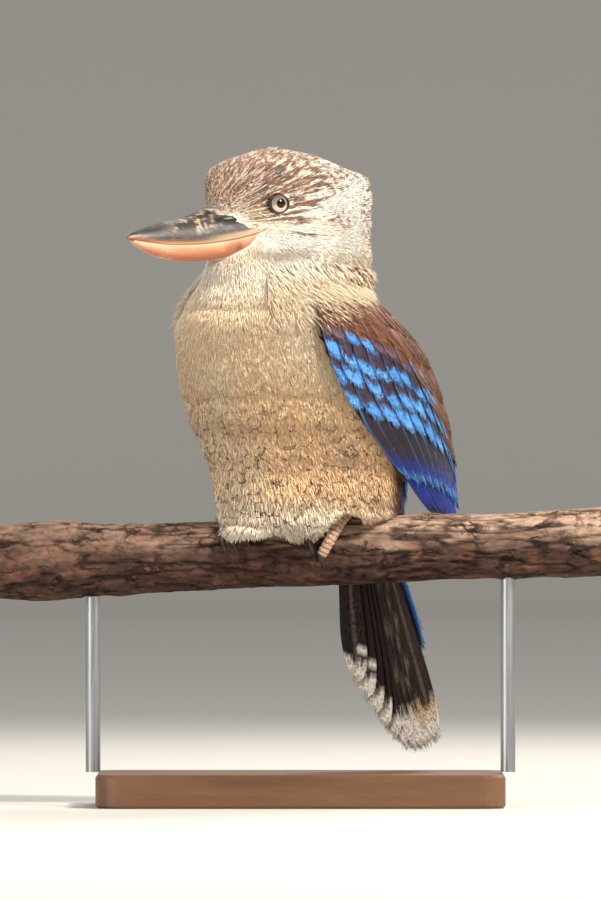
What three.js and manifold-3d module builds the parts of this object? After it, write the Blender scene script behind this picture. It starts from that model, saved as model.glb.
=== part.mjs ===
// A life-size blue-winged kookaburra perched on a cut length of branch, on a plain display stand.
// Units are millimetres, +Z is up, the origin is the middle of the underside of the stand's base.
// The bird faces towards -X and turns towards -Y, and the branch runs along X.
import * as THREE from 'three';
import { mergeVertices } from 'three/addons/utils/BufferGeometryUtils.js';
import Module from 'manifold-3d';

const wasm = await Module();
wasm.setup();

// Gap kept between neighbouring pieces.
const GAP = 0.35;

// The bird's own frame: forward, left and up, turned this much from -X towards -Y.
const HEADING = THREE.MathUtils.degToRad(42);
const BIRD_Y = 5;

// Body sections from crown to belly: height, middle, half depth, half width and how far the face narrows.
const HEAD_ROWS = [
  { up: 355.3, forward: 20, deep: 9, wide: 6, narrow: 0.1 },
  { up: 352, forward: 17, deep: 24.5, wide: 17, narrow: 0.2 },
  { up: 347, forward: 17, deep: 38.7, wide: 26, narrow: 0.3 },
  { up: 340, forward: 14.3, deep: 51.4, wide: 31.5, narrow: 0.4 },
  { up: 332, forward: 13, deep: 54.9, wide: 34, narrow: 0.45 },
  { up: 322, forward: 12.6, deep: 54, wide: 36, narrow: 0.48 },
  { up: 310, forward: 10.8, deep: 50.6, wide: 37, narrow: 0.48 },
  { up: 300, forward: 9.9, deep: 50.4, wide: 37, narrow: 0.4 },
  { up: 291, forward: 8, deep: 48.6, wide: 37, narrow: 0.25 },
];
const BODY_ROWS = [
  { up: 284, forward: 9.9, deep: 49.7, wide: 38, narrow: 0.1 },
  { up: 273, forward: 15.2, deep: 53, wide: 45, narrow: 0 },
  { up: 262, forward: 14.6, deep: 58.6, wide: 51, narrow: 0 },
  { up: 246, forward: 9.3, deep: 64.6, wide: 56, narrow: 0 },
  { up: 230, forward: 3.8, deep: 67.9, wide: 58.5, narrow: 0 },
  { up: 214, forward: -0.7, deep: 67.2, wide: 58.5, narrow: 0 },
  { up: 198, forward: -4.3, deep: 62.6, wide: 56, narrow: 0 },
  { up: 181, forward: -5.4, deep: 56.3, wide: 51, narrow: 0 },
  { up: 165, forward: -6.5, deep: 54.5, wide: 49, narrow: 0 },
  { up: 155, forward: -6, deep: 53, wide: 48, narrow: 0 },
  { up: 151, forward: 10.5, deep: 38.5, wide: 32, narrow: 0 },
  { up: 147.5, forward: 21, deep: 29, wide: 25.5, narrow: 0 },
  { up: 143.5, forward: 26, deep: 22, wide: 20, narrow: 0 },
];
const NECK_TOP = 291;
const NECK_FOOT = 271;
const AROUND = 32;

// Bill.
const BILL_ROOT = 40;
const CULMEN = [
  [40, 323], [69, 322], [82, 318.6], [101, 314.6], [114, 311], [121, 308.8], [124.5, 306.6],
];
const MOUTH = [
  [40, 311.6], [48, 308.8], [63, 305.6], [82, 303.2], [101, 302.8], [116, 304.2], [124.5, 305.6],
];
const BILL_FOOT = [
  [40, 299.5], [50, 297.6], [63, 294.8], [86, 293.4], [104, 295.6], [114, 299], [121, 302.6],
];
const BILL_HALF = [
  [40, 19], [50, 17], [62, 15], [75, 12.4], [90, 9.4], [105, 6.4], [116, 3.6], [124.5, 0.7],
];
const UPPER_TIP = 124.5;
const LOWER_TIP = 121;
const LOWER_NARROWER = 0.93;
const BILL_LEAST = 0.8;
const BILL_SIDES = 12;
const NOSTRIL = { forward: 66, left: 10.6, up: 315.4, long: 5.5, high: 1.2, deep: 2.2, sides: [8, 5] };

// Eyes.
const EYE = { forward: 36, left: 20.3, up: 324.7, radius: 6.4, sides: [14, 8] };
const LID = { radius: 5.7, thick: 1.15, out: 3.4, sides: [5, 16] };

// Branch, along X.
const BRANCH_HALF = 168;
const BRANCH_UP = 137;
const BRANCH_RISE = 0.035;
const BRANCH_RADIUS = 18.9;
const BRANCH_STEPS = 18;
const BRANCH_SIDES = 18;

// Feet.
const FOOT_X = [30, -21];
const TOE_RADIUS = 3.1;
const TOE_TOP = 88;
const CLAW_LENGTH = 11;
const CLAW_SWEEP = 5;
const HIDDEN_END = 22;
const SHANK = [3.9, 3.4, 3.4];
const ANKLE = { x: 1, y: 3, rise: 9 };
const THIGH = [[0, 3.2], [2.5, 4.6], [7, 8.5], [13, 11.5], [20, 12]];
const THIGH_SIDES = 14;

// Room that a foot and its claws take up in the belly's feathers, beside the branch.
const ROOM = { from: -48, to: 172, steps: 10, beside: 7, low: -3, high: 9.2 };

// Stand.
const BASE = { long: 220, deep: 156, high: 18, corner: 14, bevel: 1.5, arcs: 4 };
const ROD = { radius: 4, reach: 112 };

// Wings: front and back edges in forward, left and up, with the outward bow between them.
const WING_EDGES = [
  { at: 0, front: [33, 45, 269], back: [-23, 28, 271], bow: 8 },
  { at: 0.25, front: [30, 56, 240], back: [-50, 37, 242], bow: 13 },
  { at: 0.5, front: [14, 59, 212], back: [-65, 37, 214], bow: 13 },
  { at: 0.7, front: [-14, 53, 188], back: [-74, 35.5, 192], bow: 9.5 },
  { at: 0.85, front: [-42, 42, 168], back: [-81.5, 33, 174], bow: 5.5 },
  { at: 1, front: [-72, 32, 147], back: [-90, 29, 147], bow: 2 },
];
const WING_OUT = new THREE.Vector3(-0.25, 0.97, 0);

// Feather vanes: rows from root to tip with their width, rise out of the core and thickness.
const VANE_ROWS = [
  { at: 0, width: 0.55, rise: 0, full: 1 },
  { at: 0.62, width: 1, rise: 1, full: 0.95 },
  { at: 1, width: 0.42, rise: 1, full: 0.7 },
];
const VANE_ROUND = 0.1;
const VANE_SHAFT = 0.25;
const VANE_SUNK = -1.4;

// Wing core, and its tiers from the flight feathers out to the small coverts at the shoulder.
const CORE = { reach: 0.78, rows: 6, cols: 5, deep: 4.2, high: 1 };
const WING_TIERS = [
  // primaries
  { count: 4, tips: [0.94, 1], across: [0.26, 0.84], long: 0.4, half: 0.17, lift: 0.6, rest: 0.2 },
  // secondaries
  { count: 6, tips: [0.79, 0.91], across: [0.14, 0.9], long: 0.34, half: 0.12, lift: 1.7, rest: 1.6 },
  // great coverts
  { count: 5, tips: [0.46, 0.7], across: [0.12, 0.76], long: 0.25, half: 0.12, lift: 3, rest: 2.9 },
  // middle coverts
  { count: 4, tips: [0.31, 0.52], across: [0.13, 0.66], long: 0.2, half: 0.13, lift: 4.2, rest: 4.1 },
  // small coverts
  { count: 3, tips: [0.19, 0.34], across: [0.16, 0.56], long: 0.17, half: 0.14, lift: 5.2, rest: 5 },
  // lower and upper shoulder feathers
  { count: 2, tips: [0.66, 0.72], across: [0.8, 0.95], long: 0.26, half: 0.12, lift: 4.2, rest: 3.4 },
  { count: 2, tips: [0.42, 0.48], across: [0.76, 0.93], long: 0.26, half: 0.14, lift: 5.2, rest: 4.6 },
];

// Back between the wings: a thin pad and its tiers.
const BACK = { top: 271.5, foot: 176, open: 38, thick: 2.9, clear: 1, cols: 6, rows: 7 };
const BACK_TIERS = [
  // rump
  { count: 3, tips: [0.97, 0.97], across: [0.2, 0.8], long: 0.34, half: 0.2, lift: 1.2, rest: 1 },
  // middle of the back
  { count: 3, tips: [0.68, 0.68], across: [0.16, 0.84], long: 0.32, half: 0.2, lift: 2.3, rest: 2.2 },
  // mantle
  { count: 3, tips: [0.4, 0.4], across: [0.2, 0.8], long: 0.3, half: 0.2, lift: 3.4, rest: 3.2 },
];
const VANE_TILT = 0.5;
const VANE_THICK = 0.8;
const VANE_STRAY = 0.018;

// Tail fan: it grows longer from its right edge (across -1) to its left edge (across 1).
const TAIL_FEATHERS = 12;
const TAIL_STEP = { right: 0.23, left: 0.02, power: 1.4 };
const TAIL_VANE = { root: 0.04, spread: 0.8, half: 0.32, tilt: 1.1 };
const TAIL_LIFT = { middle: 1.2, root: -2, tip: -2.6 };
const TAIL_CORE = { reach: 0.3, rows: 3, cols: 8, thick: 1.6, wide: 0.96 };
const TAIL_ROOT = new THREE.Vector3(28.5, 35, 174);
const TAIL_DOWN = new THREE.Vector3(0.179, 0.13, -1).normalize();
const TAIL_TURN = THREE.MathUtils.degToRad(52);
const TAIL_LENGTH = 149;
const TAIL_HALF = [10, 32];
const TAIL_ROUND = 0.06;
const TAIL_BOW = { root: 3, tip: 3.2 };

// Long coverts on the tail's upper side.
const TAIL_COVERTS = [
  { root: 0.06, tip: 0.64, middle: 1.04, half: 0.26, lift: 2.2, rest: 2.2 },
  { root: 0.06, tip: 0.58, middle: 0.42, half: 0.34, lift: 5.2, rest: 4.6 },
  { root: 0.06, tip: 0.55, middle: -0.32, half: 0.36, lift: 4.6, rest: 4.4 },
];

// A seeded draw between 0 and 1.
let seed = 41;
function dice() {
  seed = (seed * 1103515245 + 12345) % 2147483648;
  return seed / 2147483648;
}

const colours = {
  head: '#d9cdb4', neck: '#e6dcc4', torso: '#dcc79c', back: '#6b4a36', wing: '#4d8fd0', tail: '#2c2a33',
  upperBill: '#2e2c2b', lowerBill: '#b98457', iris: '#c9c2b2', leg: '#d8bd8e', foot: '#a98c78',
  claw: '#1f1c1b', bark: '#6f5241', wood: '#54402f', steel: '#8d9094',
};

// Smooth value of a table of [place, value] pairs, in rising or falling order of place.
function smooth(places, values, at) {
  const rising = places[places.length - 1] > places[0];
  const p = rising ? places : places.map((x) => -x);
  const x = THREE.MathUtils.clamp(rising ? at : -at, p[0], p[p.length - 1]);
  let i = 0;
  while (i < p.length - 2 && x > p[i + 1]) i += 1;
  const slope = (k) => {
    const a = Math.max(k - 1, 0);
    const b = Math.min(k + 1, p.length - 1);
    return (values[b] - values[a]) / (p[b] - p[a]);
  };
  const span = p[i + 1] - p[i];
  const t = (x - p[i]) / span;
  const rise = (values[i + 1] - values[i]) / span;
  const limit = (s) => {
    if (s * rise <= 0) return 0;
    return Math.sign(s) * Math.min(Math.abs(s), 3 * Math.abs(rise));
  };
  const start = limit(slope(i)) * span;
  const end = limit(slope(i + 1)) * span;
  const t2 = t * t;
  const t3 = t2 * t;
  return (2 * t3 - 3 * t2 + 1) * values[i] + (t3 - 2 * t2 + t) * start
    + (3 * t2 - 2 * t3) * values[i + 1] + (t3 - t2) * end;
}

const pairs = (table, at) => smooth(table.map((r) => r[0]), table.map((r) => r[1]), at);
const column = (rows, key, name, at) => smooth(rows.map((r) => r[key]), rows.map((r) => r[name]), at);

// A point of the bird's frame as a point of the world.
function world(forward, left, up) {
  const c = Math.cos(HEADING);
  const s = Math.sin(HEADING);
  return new THREE.Vector3(-forward * c + left * s, BIRD_Y - forward * s - left * c, up);
}

// Geometry and solids.
function geometry(points, faces) {
  const g = new THREE.BufferGeometry();
  g.setAttribute('position', new THREE.Float32BufferAttribute(points.flatMap((p) => [p.x, p.y, p.z]), 3));
  g.setIndex(faces.flat());
  return g;
}

function volume(points, faces) {
  return faces.reduce((sum, [a, b, c]) => (
    sum + points[a].dot(new THREE.Vector3().crossVectors(points[b], points[c])) / 6), 0);
}

function facingOut(points, faces) {
  return volume(points, faces) > 0 ? faces : faces.map(([a, b, c]) => [a, c, b]);
}

// A closed loft through rings of equal count, each end closed by a fan round its middle.
function loft(rings) {
  const n = rings[0].length;
  const points = rings.flat();
  const faces = [];
  for (let r = 0; r < rings.length - 1; r += 1) {
    for (let i = 0; i < n; i += 1) {
      const j = (i + 1) % n;
      const a = r * n + i;
      const b = r * n + j;
      faces.push([a, b, b + n], [a, b + n, a + n]);
    }
  }
  const middle = (ring) => ring.reduce((m, p) => m.add(p), new THREE.Vector3()).divideScalar(n);
  const first = points.push(middle(rings[0])) - 1;
  const last = points.push(middle(rings[rings.length - 1])) - 1;
  const top = (rings.length - 1) * n;
  for (let i = 0; i < n; i += 1) {
    const j = (i + 1) % n;
    faces.push([first, j, i], [last, top + i, top + j]);
  }
  return geometry(points, facingOut(points, faces));
}

// A closed plate between two grids of points, split alike on both faces.
function plate(outer, inner) {
  const rows = outer.length;
  const cols = outer[0].length;
  const points = [...outer.flat(), ...inner.flat()];
  const half = rows * cols;
  const at = (r, c) => r * cols + c;
  const faces = [];
  for (let r = 0; r < rows - 1; r += 1) {
    for (let c = 0; c < cols - 1; c += 1) {
      const [p, q, s, t] = [at(r, c), at(r, c + 1), at(r + 1, c + 1), at(r + 1, c)];
      faces.push([p, q, s], [p, s, t], [half + p, half + s, half + q], [half + p, half + t, half + s]);
    }
  }
  const rim = [];
  for (let c = 0; c < cols - 1; c += 1) rim.push([at(0, c), at(0, c + 1)]);
  for (let r = 0; r < rows - 1; r += 1) rim.push([at(r, cols - 1), at(r + 1, cols - 1)]);
  for (let c = cols - 1; c > 0; c -= 1) rim.push([at(rows - 1, c), at(rows - 1, c - 1)]);
  for (let r = rows - 1; r > 0; r -= 1) rim.push([at(r, 0), at(r - 1, 0)]);
  rim.forEach(([a, b]) => faces.push([b, a, half + a], [b, half + a, half + b]));
  return geometry(points, facingOut(points, faces));
}

function solid(source) {
  const g = source.clone();
  g.deleteAttribute('normal');
  g.deleteAttribute('uv');
  const merged = mergeVertices(g, 1e-4);
  return new wasm.Manifold(new wasm.Mesh({
    numProp: 3,
    vertProperties: new Float32Array(merged.attributes.position.array),
    triVerts: new Uint32Array(merged.index.array),
  }));
}

// The largest closed surface of a solid.
function largest(shape) {
  return shape.decompose().sort((a, b) => b.volume() - a.volume())[0];
}

function join(shapes) {
  return shapes.reduce((sum, s) => sum.add(s));
}

const model = new THREE.Group();

function addMesh(name, shape, colour, roughness, metalness = 0) {
  const mesh = largest(shape).getMesh();
  const g = new THREE.BufferGeometry();
  g.setAttribute('position', new THREE.Float32BufferAttribute(mesh.vertProperties, 3));
  g.setIndex(new THREE.Uint32BufferAttribute(mesh.triVerts, 1));
  g.computeVertexNormals();
  const made = new THREE.Mesh(g, new THREE.MeshStandardMaterial({ color: colour, roughness, metalness }));
  made.name = name;
  model.add(made);
}

// Body.
const ALL_ROWS = [...HEAD_ROWS, ...BODY_ROWS];

function section(up) {
  const read = (name) => column(ALL_ROWS, 'up', name, up);
  return { forward: read('forward'), deep: read('deep'), wide: read('wide'), narrow: read('narrow') };
}

// A point of the body's skin: turn is 0 at the breast, a quarter at the left side and a half at the back.
function skin(up, turn, grow = 0) {
  const s = section(up);
  const x = Math.cos(turn);
  const y = Math.sin(turn);
  const width = (s.wide + grow) * y * (1 - s.narrow * Math.max(0, x));
  return world(s.forward + (s.deep + grow) * x, width, up);
}

function bodyRing(up, grow) {
  const turns = Array.from({ length: AROUND }, (_, i) => (i / AROUND) * 2 * Math.PI);
  return turns.map((t) => skin(up, t, grow));
}

function bodyLoft(top, foot, steps, grow = 0) {
  const heights = Array.from({ length: steps + 1 }, (_, i) => top + ((foot - top) * i) / steps);
  return solid(loft(heights.map((h) => bodyRing(h, grow))));
}

const CROWN = HEAD_ROWS[0].up;
const BELLY = BODY_ROWS[BODY_ROWS.length - 1].up;
const HEAD_FOOT = NECK_TOP + GAP;
const HEAD_STEPS = 15;
const NECK_STEPS = 4;
const TORSO_STEPS = 15;
const headGrown = bodyLoft(CROWN, HEAD_FOOT, HEAD_STEPS, GAP);
const neckGrown = bodyLoft(NECK_TOP, NECK_FOOT + GAP, NECK_STEPS, GAP);
const torsoGrown = bodyLoft(NECK_FOOT, BELLY, TORSO_STEPS, GAP);

// Branch and its clearance.
function branchRadius(x) {
  const swell = 3 * Math.exp(-(((x + 134) / 22) ** 2)) - 1.2 * Math.exp(-(((x - 100) / 40) ** 2));
  return BRANCH_RADIUS + swell;
}

const branchUp = (x) => BRANCH_UP + BRANCH_RISE * x;

function branchLoft(grow) {
  const rings = Array.from({ length: BRANCH_STEPS + 1 }, (_, i) => {
    const x = BRANCH_HALF * ((2 * i) / BRANCH_STEPS - 1);
    const r = branchRadius(x) + grow;
    return Array.from({ length: BRANCH_SIDES }, (__, k) => {
      const a = (k / BRANCH_SIDES) * 2 * Math.PI;
      return new THREE.Vector3(x, r * Math.cos(a), branchUp(x) + r * Math.sin(a));
    });
  });
  return solid(loft(rings));
}

// A round piece through a list of points, each with its own radius.
function limb(points, radii, sides = 8, steps = 8) {
  const curve = new THREE.CatmullRomCurve3(points);
  const frames = curve.computeFrenetFrames(steps, false);
  const rings = Array.from({ length: steps + 1 }, (_, i) => {
    const t = i / steps;
    const p = curve.getPoint(t);
    const r = smooth(radii.map((__, k) => k / (radii.length - 1)), radii, t);
    return Array.from({ length: sides }, (__, k) => {
      const a = (k / sides) * 2 * Math.PI;
      return p.clone()
        .addScaledVector(frames.normals[i], r * Math.cos(a))
        .addScaledVector(frames.binormals[i], r * Math.sin(a));
    });
  });
  return solid(loft(rings));
}

// A point beside the branch: turn 0 faces the front (-Y) and a quarter turn is the top.
function besideBranch(x, degrees, away) {
  const a = THREE.MathUtils.degToRad(degrees);
  const r = branchRadius(x) + away;
  return new THREE.Vector3(x, -r * Math.cos(a), branchUp(x) + r * Math.sin(a));
}

// Toes: how far each spreads outwards from root to tip, how far it sweeps along the branch,
// and the turns round the branch where it begins and ends.
const TOES = [
  { name: 'inner', from: -2, to: -10.5, sweep: -20, start: 84, end: 34, size: 0.92 },
  { name: 'middle', from: 0, to: -4.8, sweep: -20, start: 84, end: 14, size: 1 },
  { name: 'outer', from: 2, to: 1, sweep: -20, start: 84, end: -6, size: 1.05 },
  { name: 'back', from: 1, to: 2, sweep: 8, start: 92, end: 152, size: 0.9 },
];

// Place along the branch at a part of the way down a toe.
const toeX = (footX, side, toe, t) => footX + side * (toe.from + (toe.to - toe.from) * t) + toe.sweep * t;

// The front toes of the right foot are hidden by the belly and end higher on the branch.
const toeEnd = (side, toe) => (side < 0 && toe.name !== 'back' ? Math.max(toe.end, HIDDEN_END) : toe.end);

function toePoints(footX, side, toe, away) {
  return [0, 0.33, 0.67, 1].map((t) => besideBranch(
    toeX(footX, side, toe, t),
    toe.start + (toeEnd(side, toe) - toe.start) * t,
    away,
  ));
}

function anklePoint(footX, rise) {
  const pad = besideBranch(footX, TOE_TOP, TOE_RADIUS + GAP);
  return pad.add(new THREE.Vector3(ANKLE.x, ANKLE.y, rise));
}

function shankSolid(footX, grow) {
  const pad = besideBranch(footX, TOE_TOP, TOE_RADIUS + GAP);
  const ankle = anklePoint(footX, ANKLE.rise + grow);
  return limb([pad, pad.clone().lerp(ankle, 0.5), ankle], SHANK.map((size) => size + grow), 8, 3);
}

function footSolid(footX, side, grow) {
  const pieces = [shankSolid(footX, grow)];
  TOES.forEach((toe) => {
    const r = TOE_RADIUS * toe.size;
    const points = toePoints(footX, side, toe, r + GAP);
    pieces.push(limb(points, [r, r * 0.95, r * 0.9, r * 0.82].map((size) => size + grow), 8, 5));
  });
  return join(pieces);
}

function clawSolid(footX, side, toe) {
  const forward = Math.sign(toe.end - toe.start);
  const arc = THREE.MathUtils.radToDeg(CLAW_LENGTH / BRANCH_RADIUS);
  const r = TOE_RADIUS * toe.size;
  const x = toeX(footX, side, toe, 1);
  const first = toeEnd(side, toe) + forward * 1.2;
  const points = [0, 0.35, 0.7, 1].map((t) => besideBranch(
    x - Math.sign(toe.sweep) * CLAW_SWEEP * t * t,
    first + forward * arc * t,
    r * (1 - t) + GAP + 1.2 + 1.1 * Math.sin(Math.PI * t),
  ));
  return limb(points, [r * 0.7, r * 0.52, r * 0.3, 0.35], 7, 5);
}

// How far a foot's toes and claws spread along the branch at one turn round it.
function toeSpan(footX, side, turn) {
  const xs = TOES.flatMap((toe) => {
    const t = (turn - toe.start) / (toeEnd(side, toe) - toe.start);
    const x = toeX(footX, side, toe, THREE.MathUtils.clamp(t, 0, 1));
    return t > 1 ? [x, x - Math.sign(toe.sweep) * CLAW_SWEEP] : [x];
  });
  return [Math.min(...xs) - ROOM.beside, Math.max(...xs) + ROOM.beside];
}

// A slice of a thick ring round the branch that follows the toes.
function footRoom(footX, side) {
  const rings = Array.from({ length: ROOM.steps + 1 }, (_, i) => {
    const turn = ROOM.from + ((ROOM.to - ROOM.from) * i) / ROOM.steps;
    const [left, right] = toeSpan(footX, side, turn);
    return [
      besideBranch(left, turn, ROOM.low),
      besideBranch(right, turn, ROOM.low),
      besideBranch(right, turn, ROOM.high),
      besideBranch(left, turn, ROOM.high),
    ];
  });
  return solid(loft(rings));
}

function legSolid(footX, grow) {
  const ankle = anklePoint(footX, ANKLE.rise + GAP / 2);
  const ring = (up, r) => Array.from({ length: THIGH_SIDES }, (_, k) => {
    const a = (k / THIGH_SIDES) * 2 * Math.PI;
    return new THREE.Vector3(ankle.x + r * Math.cos(a), ankle.y + r * Math.sin(a), up);
  });
  return solid(loft(THIGH.map(([rise, r], i) => (
    ring(ankle.z + GAP + rise + (i ? grow : -grow), r + grow)))));
}

// Wings.
function wingPoint(along, across) {
  const read = (name, i) => smooth(WING_EDGES.map((r) => r.at), WING_EDGES.map((r) => r[name][i]), along);
  const full = Math.sin(Math.PI * THREE.MathUtils.clamp(across, 0, 1));
  const bow = column(WING_EDGES, 'at', 'bow', along) * full;
  const p = [0, 1, 2].map((i) => read('front', i) * (1 - across) + read('back', i) * across);
  return new THREE.Vector3(p[0], p[1], p[2]).addScaledVector(WING_OUT, bow);
}

function wingNormal(along, across) {
  const e = 0.02;
  const a = wingPoint(Math.min(along + e, 1), across).sub(wingPoint(Math.max(along - e, 0), across));
  const b = wingPoint(along, Math.min(across + e, 1)).sub(wingPoint(along, Math.max(across - e, 0)));
  const n = a.cross(b).normalize();
  return n.dot(WING_OUT) < 0 ? n.negate() : n;
}

function wingWorld(along, across, height, side) {
  const p = wingPoint(along, across).addScaledVector(wingNormal(along, across), height);
  return world(p.x, side * p.y, p.z);
}

// A closed vane on any surface, thin at its sides and tip, with its root sunk in and its shaft raised.
function vane(place, { root, tip, middle, half, lift, rest, tilt = VANE_TILT }) {
  const grid = (under) => VANE_ROWS.map(({ at, width, rise, full }) => [-1, 0, 1].map((q) => {
    const along = root + (tip - root) * (at - VANE_ROUND * q * q * at * at);
    const across = middle + q * half * width;
    const outside = THREE.MathUtils.lerp(VANE_SUNK, THREE.MathUtils.lerp(lift, rest, at), rise);
    const shaft = q === 0 ? VANE_SHAFT * full : 0;
    return place(along, across, outside + shaft - tilt * q - (under ? VANE_THICK * full : 0));
  }));
  return solid(plate(grid(false), grid(true)));
}

// Vanes side by side in one tier, from the tier's first to its last place across the surface.
function tier(place, t) {
  return Array.from({ length: t.count }, (_, i) => {
    const step = t.count > 1 ? i / (t.count - 1) : 0;
    const stray = (dice() - 0.5) * VANE_STRAY;
    const tip = THREE.MathUtils.lerp(t.tips[0], t.tips[1], step) + stray;
    const middle = THREE.MathUtils.lerp(t.across[0], t.across[1], step);
    return vane(place, { ...t, root: tip - t.long, tip, middle });
  });
}

// Wing: a thin core that carries the tiers, with the flight feathers reaching past it.
function wingSolid(side) {
  const place = (along, across, height) => wingWorld(along, across, height, side);
  const grid = (under) => Array.from({ length: CORE.rows + 1 }, (_, r) => (
    Array.from({ length: CORE.cols + 1 }, (__, c) => {
      const full = Math.sin(Math.PI * THREE.MathUtils.clamp(c / CORE.cols, 0.15, 0.85));
      const deep = (under ? -CORE.deep : CORE.high) * full;
      return place((CORE.reach * r) / CORE.rows, c / CORE.cols, deep);
    })));
  const core = solid(plate(grid(false), grid(true)));
  return join([core, ...WING_TIERS.flatMap((t) => tier(place, t))]);
}

// Back, between the wings.
function backPoint(down, across, height) {
  const up = BACK.top + (BACK.foot - BACK.top) * down;
  const turn = THREE.MathUtils.degToRad(180 + BACK.open * (2 * across - 1));
  return skin(Math.max(up, BACK.foot), turn, height);
}

function backSolid() {
  const grid = (height) => Array.from({ length: BACK.rows + 1 }, (_, r) => (
    Array.from({ length: BACK.cols + 1 }, (__, c) => (
      backPoint(r / BACK.rows, c / BACK.cols, height)))));
  const core = solid(plate(grid(BACK.thick), grid(BACK.clear)));
  const place = (down, across, height) => backPoint(down, across, height + BACK.thick);
  return join([core, ...BACK_TIERS.flatMap((t) => tier(place, t))]);
}

// Tail.
const TAIL_SIDE = new THREE.Vector3(Math.sin(TAIL_TURN), -Math.cos(TAIL_TURN), 0);
const TAIL_BACK = new THREE.Vector3().crossVectors(TAIL_SIDE, TAIL_DOWN).normalize();

// A point of the tail: along 0 to 1, across -1 at its right edge to 1 at its left edge.
function tailPoint(along, across, height) {
  const half = THREE.MathUtils.lerp(TAIL_HALF[0], TAIL_HALF[1], along);
  const bow = (TAIL_BOW.root + TAIL_BOW.tip * along) * (1 - across * across);
  return TAIL_ROOT.clone()
    .addScaledVector(TAIL_DOWN, TAIL_LENGTH * along * (1 - TAIL_ROUND * across * across))
    .addScaledVector(TAIL_SIDE, half * across)
    .addScaledVector(TAIL_BACK, height + bow);
}

function tailSolid() {
  const grid = (height) => Array.from({ length: TAIL_CORE.rows + 1 }, (_, r) => (
    Array.from({ length: TAIL_CORE.cols + 1 }, (__, c) => {
      const along = (TAIL_CORE.reach * r) / TAIL_CORE.rows;
      return tailPoint(along, TAIL_CORE.wide * ((2 * c) / TAIL_CORE.cols - 1), height);
    })));
  const core = solid(plate(grid(TAIL_CORE.thick), grid(-TAIL_CORE.thick)));
  const feathers = Array.from({ length: TAIL_FEATHERS }, (_, i) => {
    const place = (2 * i) / (TAIL_FEATHERS - 1) - 1;
    const right = Math.max(0, -place) ** TAIL_STEP.power;
    const left = Math.max(0, place) ** TAIL_STEP.power;
    return vane(tailPoint, {
      root: TAIL_VANE.root,
      tip: 1 - TAIL_STEP.right * right - TAIL_STEP.left * left,
      middle: place * TAIL_VANE.spread,
      half: TAIL_VANE.half,
      lift: TAIL_LIFT.middle + TAIL_LIFT.root * Math.abs(place),
      rest: TAIL_LIFT.middle + TAIL_LIFT.tip * Math.abs(place),
      tilt: -TAIL_VANE.tilt * Math.sign(place),
    });
  });
  return join([core, ...feathers, ...TAIL_COVERTS.map((covert) => vane(tailPoint, covert))]);
}

// Bill.
function billRings(from, to, steps, ring) {
  return Array.from({ length: steps + 1 }, (_, i) => ring(from + ((to - from) * i) / steps));
}

// Half of a ring across the bill, from its left side over the ridge or keel to its right side.
function billArc(f, half, edge, middle, power) {
  return Array.from({ length: BILL_SIDES + 1 }, (_, k) => {
    const a = (k / BILL_SIDES) * Math.PI;
    return world(f, half * Math.cos(a), edge + (middle - edge) * Math.sin(a) ** power);
  });
}

function upperBill() {
  return solid(loft(billRings(BILL_ROOT, UPPER_TIP, 11, (f) => {
    const foot = pairs(MOUTH, f);
    const top = Math.max(pairs(CULMEN, f), foot + BILL_LEAST);
    return billArc(f, pairs(BILL_HALF, f), foot, top, 0.9);
  })));
}

function lowerBill() {
  return solid(loft(billRings(BILL_ROOT, LOWER_TIP, 10, (f) => {
    const top = pairs(MOUTH, f) - GAP;
    const foot = Math.min(pairs(BILL_FOOT, f), top - BILL_LEAST);
    return billArc(f, pairs(BILL_HALF, f) * LOWER_NARROWER, top, foot, 0.8);
  })));
}

function ball(centre, radius, [cols, rows], squash = new THREE.Vector3(1, 1, 1)) {
  const g = new THREE.SphereGeometry(radius, cols, rows);
  g.scale(squash.x, squash.y, squash.z);
  g.rotateZ(HEADING);
  g.translate(centre.x, centre.y, centre.z);
  return solid(g);
}

function nostril(side) {
  const n = NOSTRIL;
  const squash = new THREE.Vector3(n.long, n.deep, n.high);
  return ball(world(n.forward, side * n.left, n.up), 1, n.sides, squash);
}

function eyeCentre(side) {
  return world(EYE.forward, side * EYE.left, EYE.up);
}

function lidRing(side) {
  const g = new THREE.TorusGeometry(LID.radius, LID.thick, ...LID.sides);
  const out = world(0.28, side, 0.02).sub(world(0, 0, 0)).normalize();
  g.applyQuaternion(new THREE.Quaternion().setFromUnitVectors(new THREE.Vector3(0, 0, 1), out));
  const centre = eyeCentre(side).addScaledVector(out, LID.out);
  g.translate(centre.x, centre.y, centre.z);
  return solid(g);
}

// The line of the mouth, cut back into the cheek behind each corner of the bill.
function mouthLine(side) {
  const g = new THREE.BoxGeometry(12, 4, 0.9);
  g.rotateZ(HEADING);
  const p = world(41, side * 20, 311.4);
  g.translate(p.x, p.y, p.z);
  return solid(g);
}

const sides = [{ name: 'left', sign: 1, footX: FOOT_X[0] }, { name: 'right', sign: -1, footX: FOOT_X[1] }];

let head = bodyLoft(CROWN, HEAD_FOOT, HEAD_STEPS);
sides.forEach(({ sign }) => { head = head.add(lidRing(sign)); });
sides.forEach(({ sign }) => {
  head = head.subtract(ball(eyeCentre(sign), EYE.radius + GAP, EYE.sides)).subtract(mouthLine(sign));
});
addMesh('head', head, colours.head, 0.9);

sides.forEach(({ name, sign }) => {
  addMesh(`eye_${name}`, ball(eyeCentre(sign), EYE.radius, EYE.sides), colours.iris, 0.1);
});

const upper = upperBill().subtract(headGrown).subtract(nostril(1)).subtract(nostril(-1));
addMesh('upper_mandible', upper, colours.upperBill, 0.4);
addMesh('lower_mandible', lowerBill().subtract(headGrown), colours.lowerBill, 0.4);

addMesh('neck', bodyLoft(NECK_TOP, NECK_FOOT + GAP, NECK_STEPS), colours.neck, 0.9);

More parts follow.
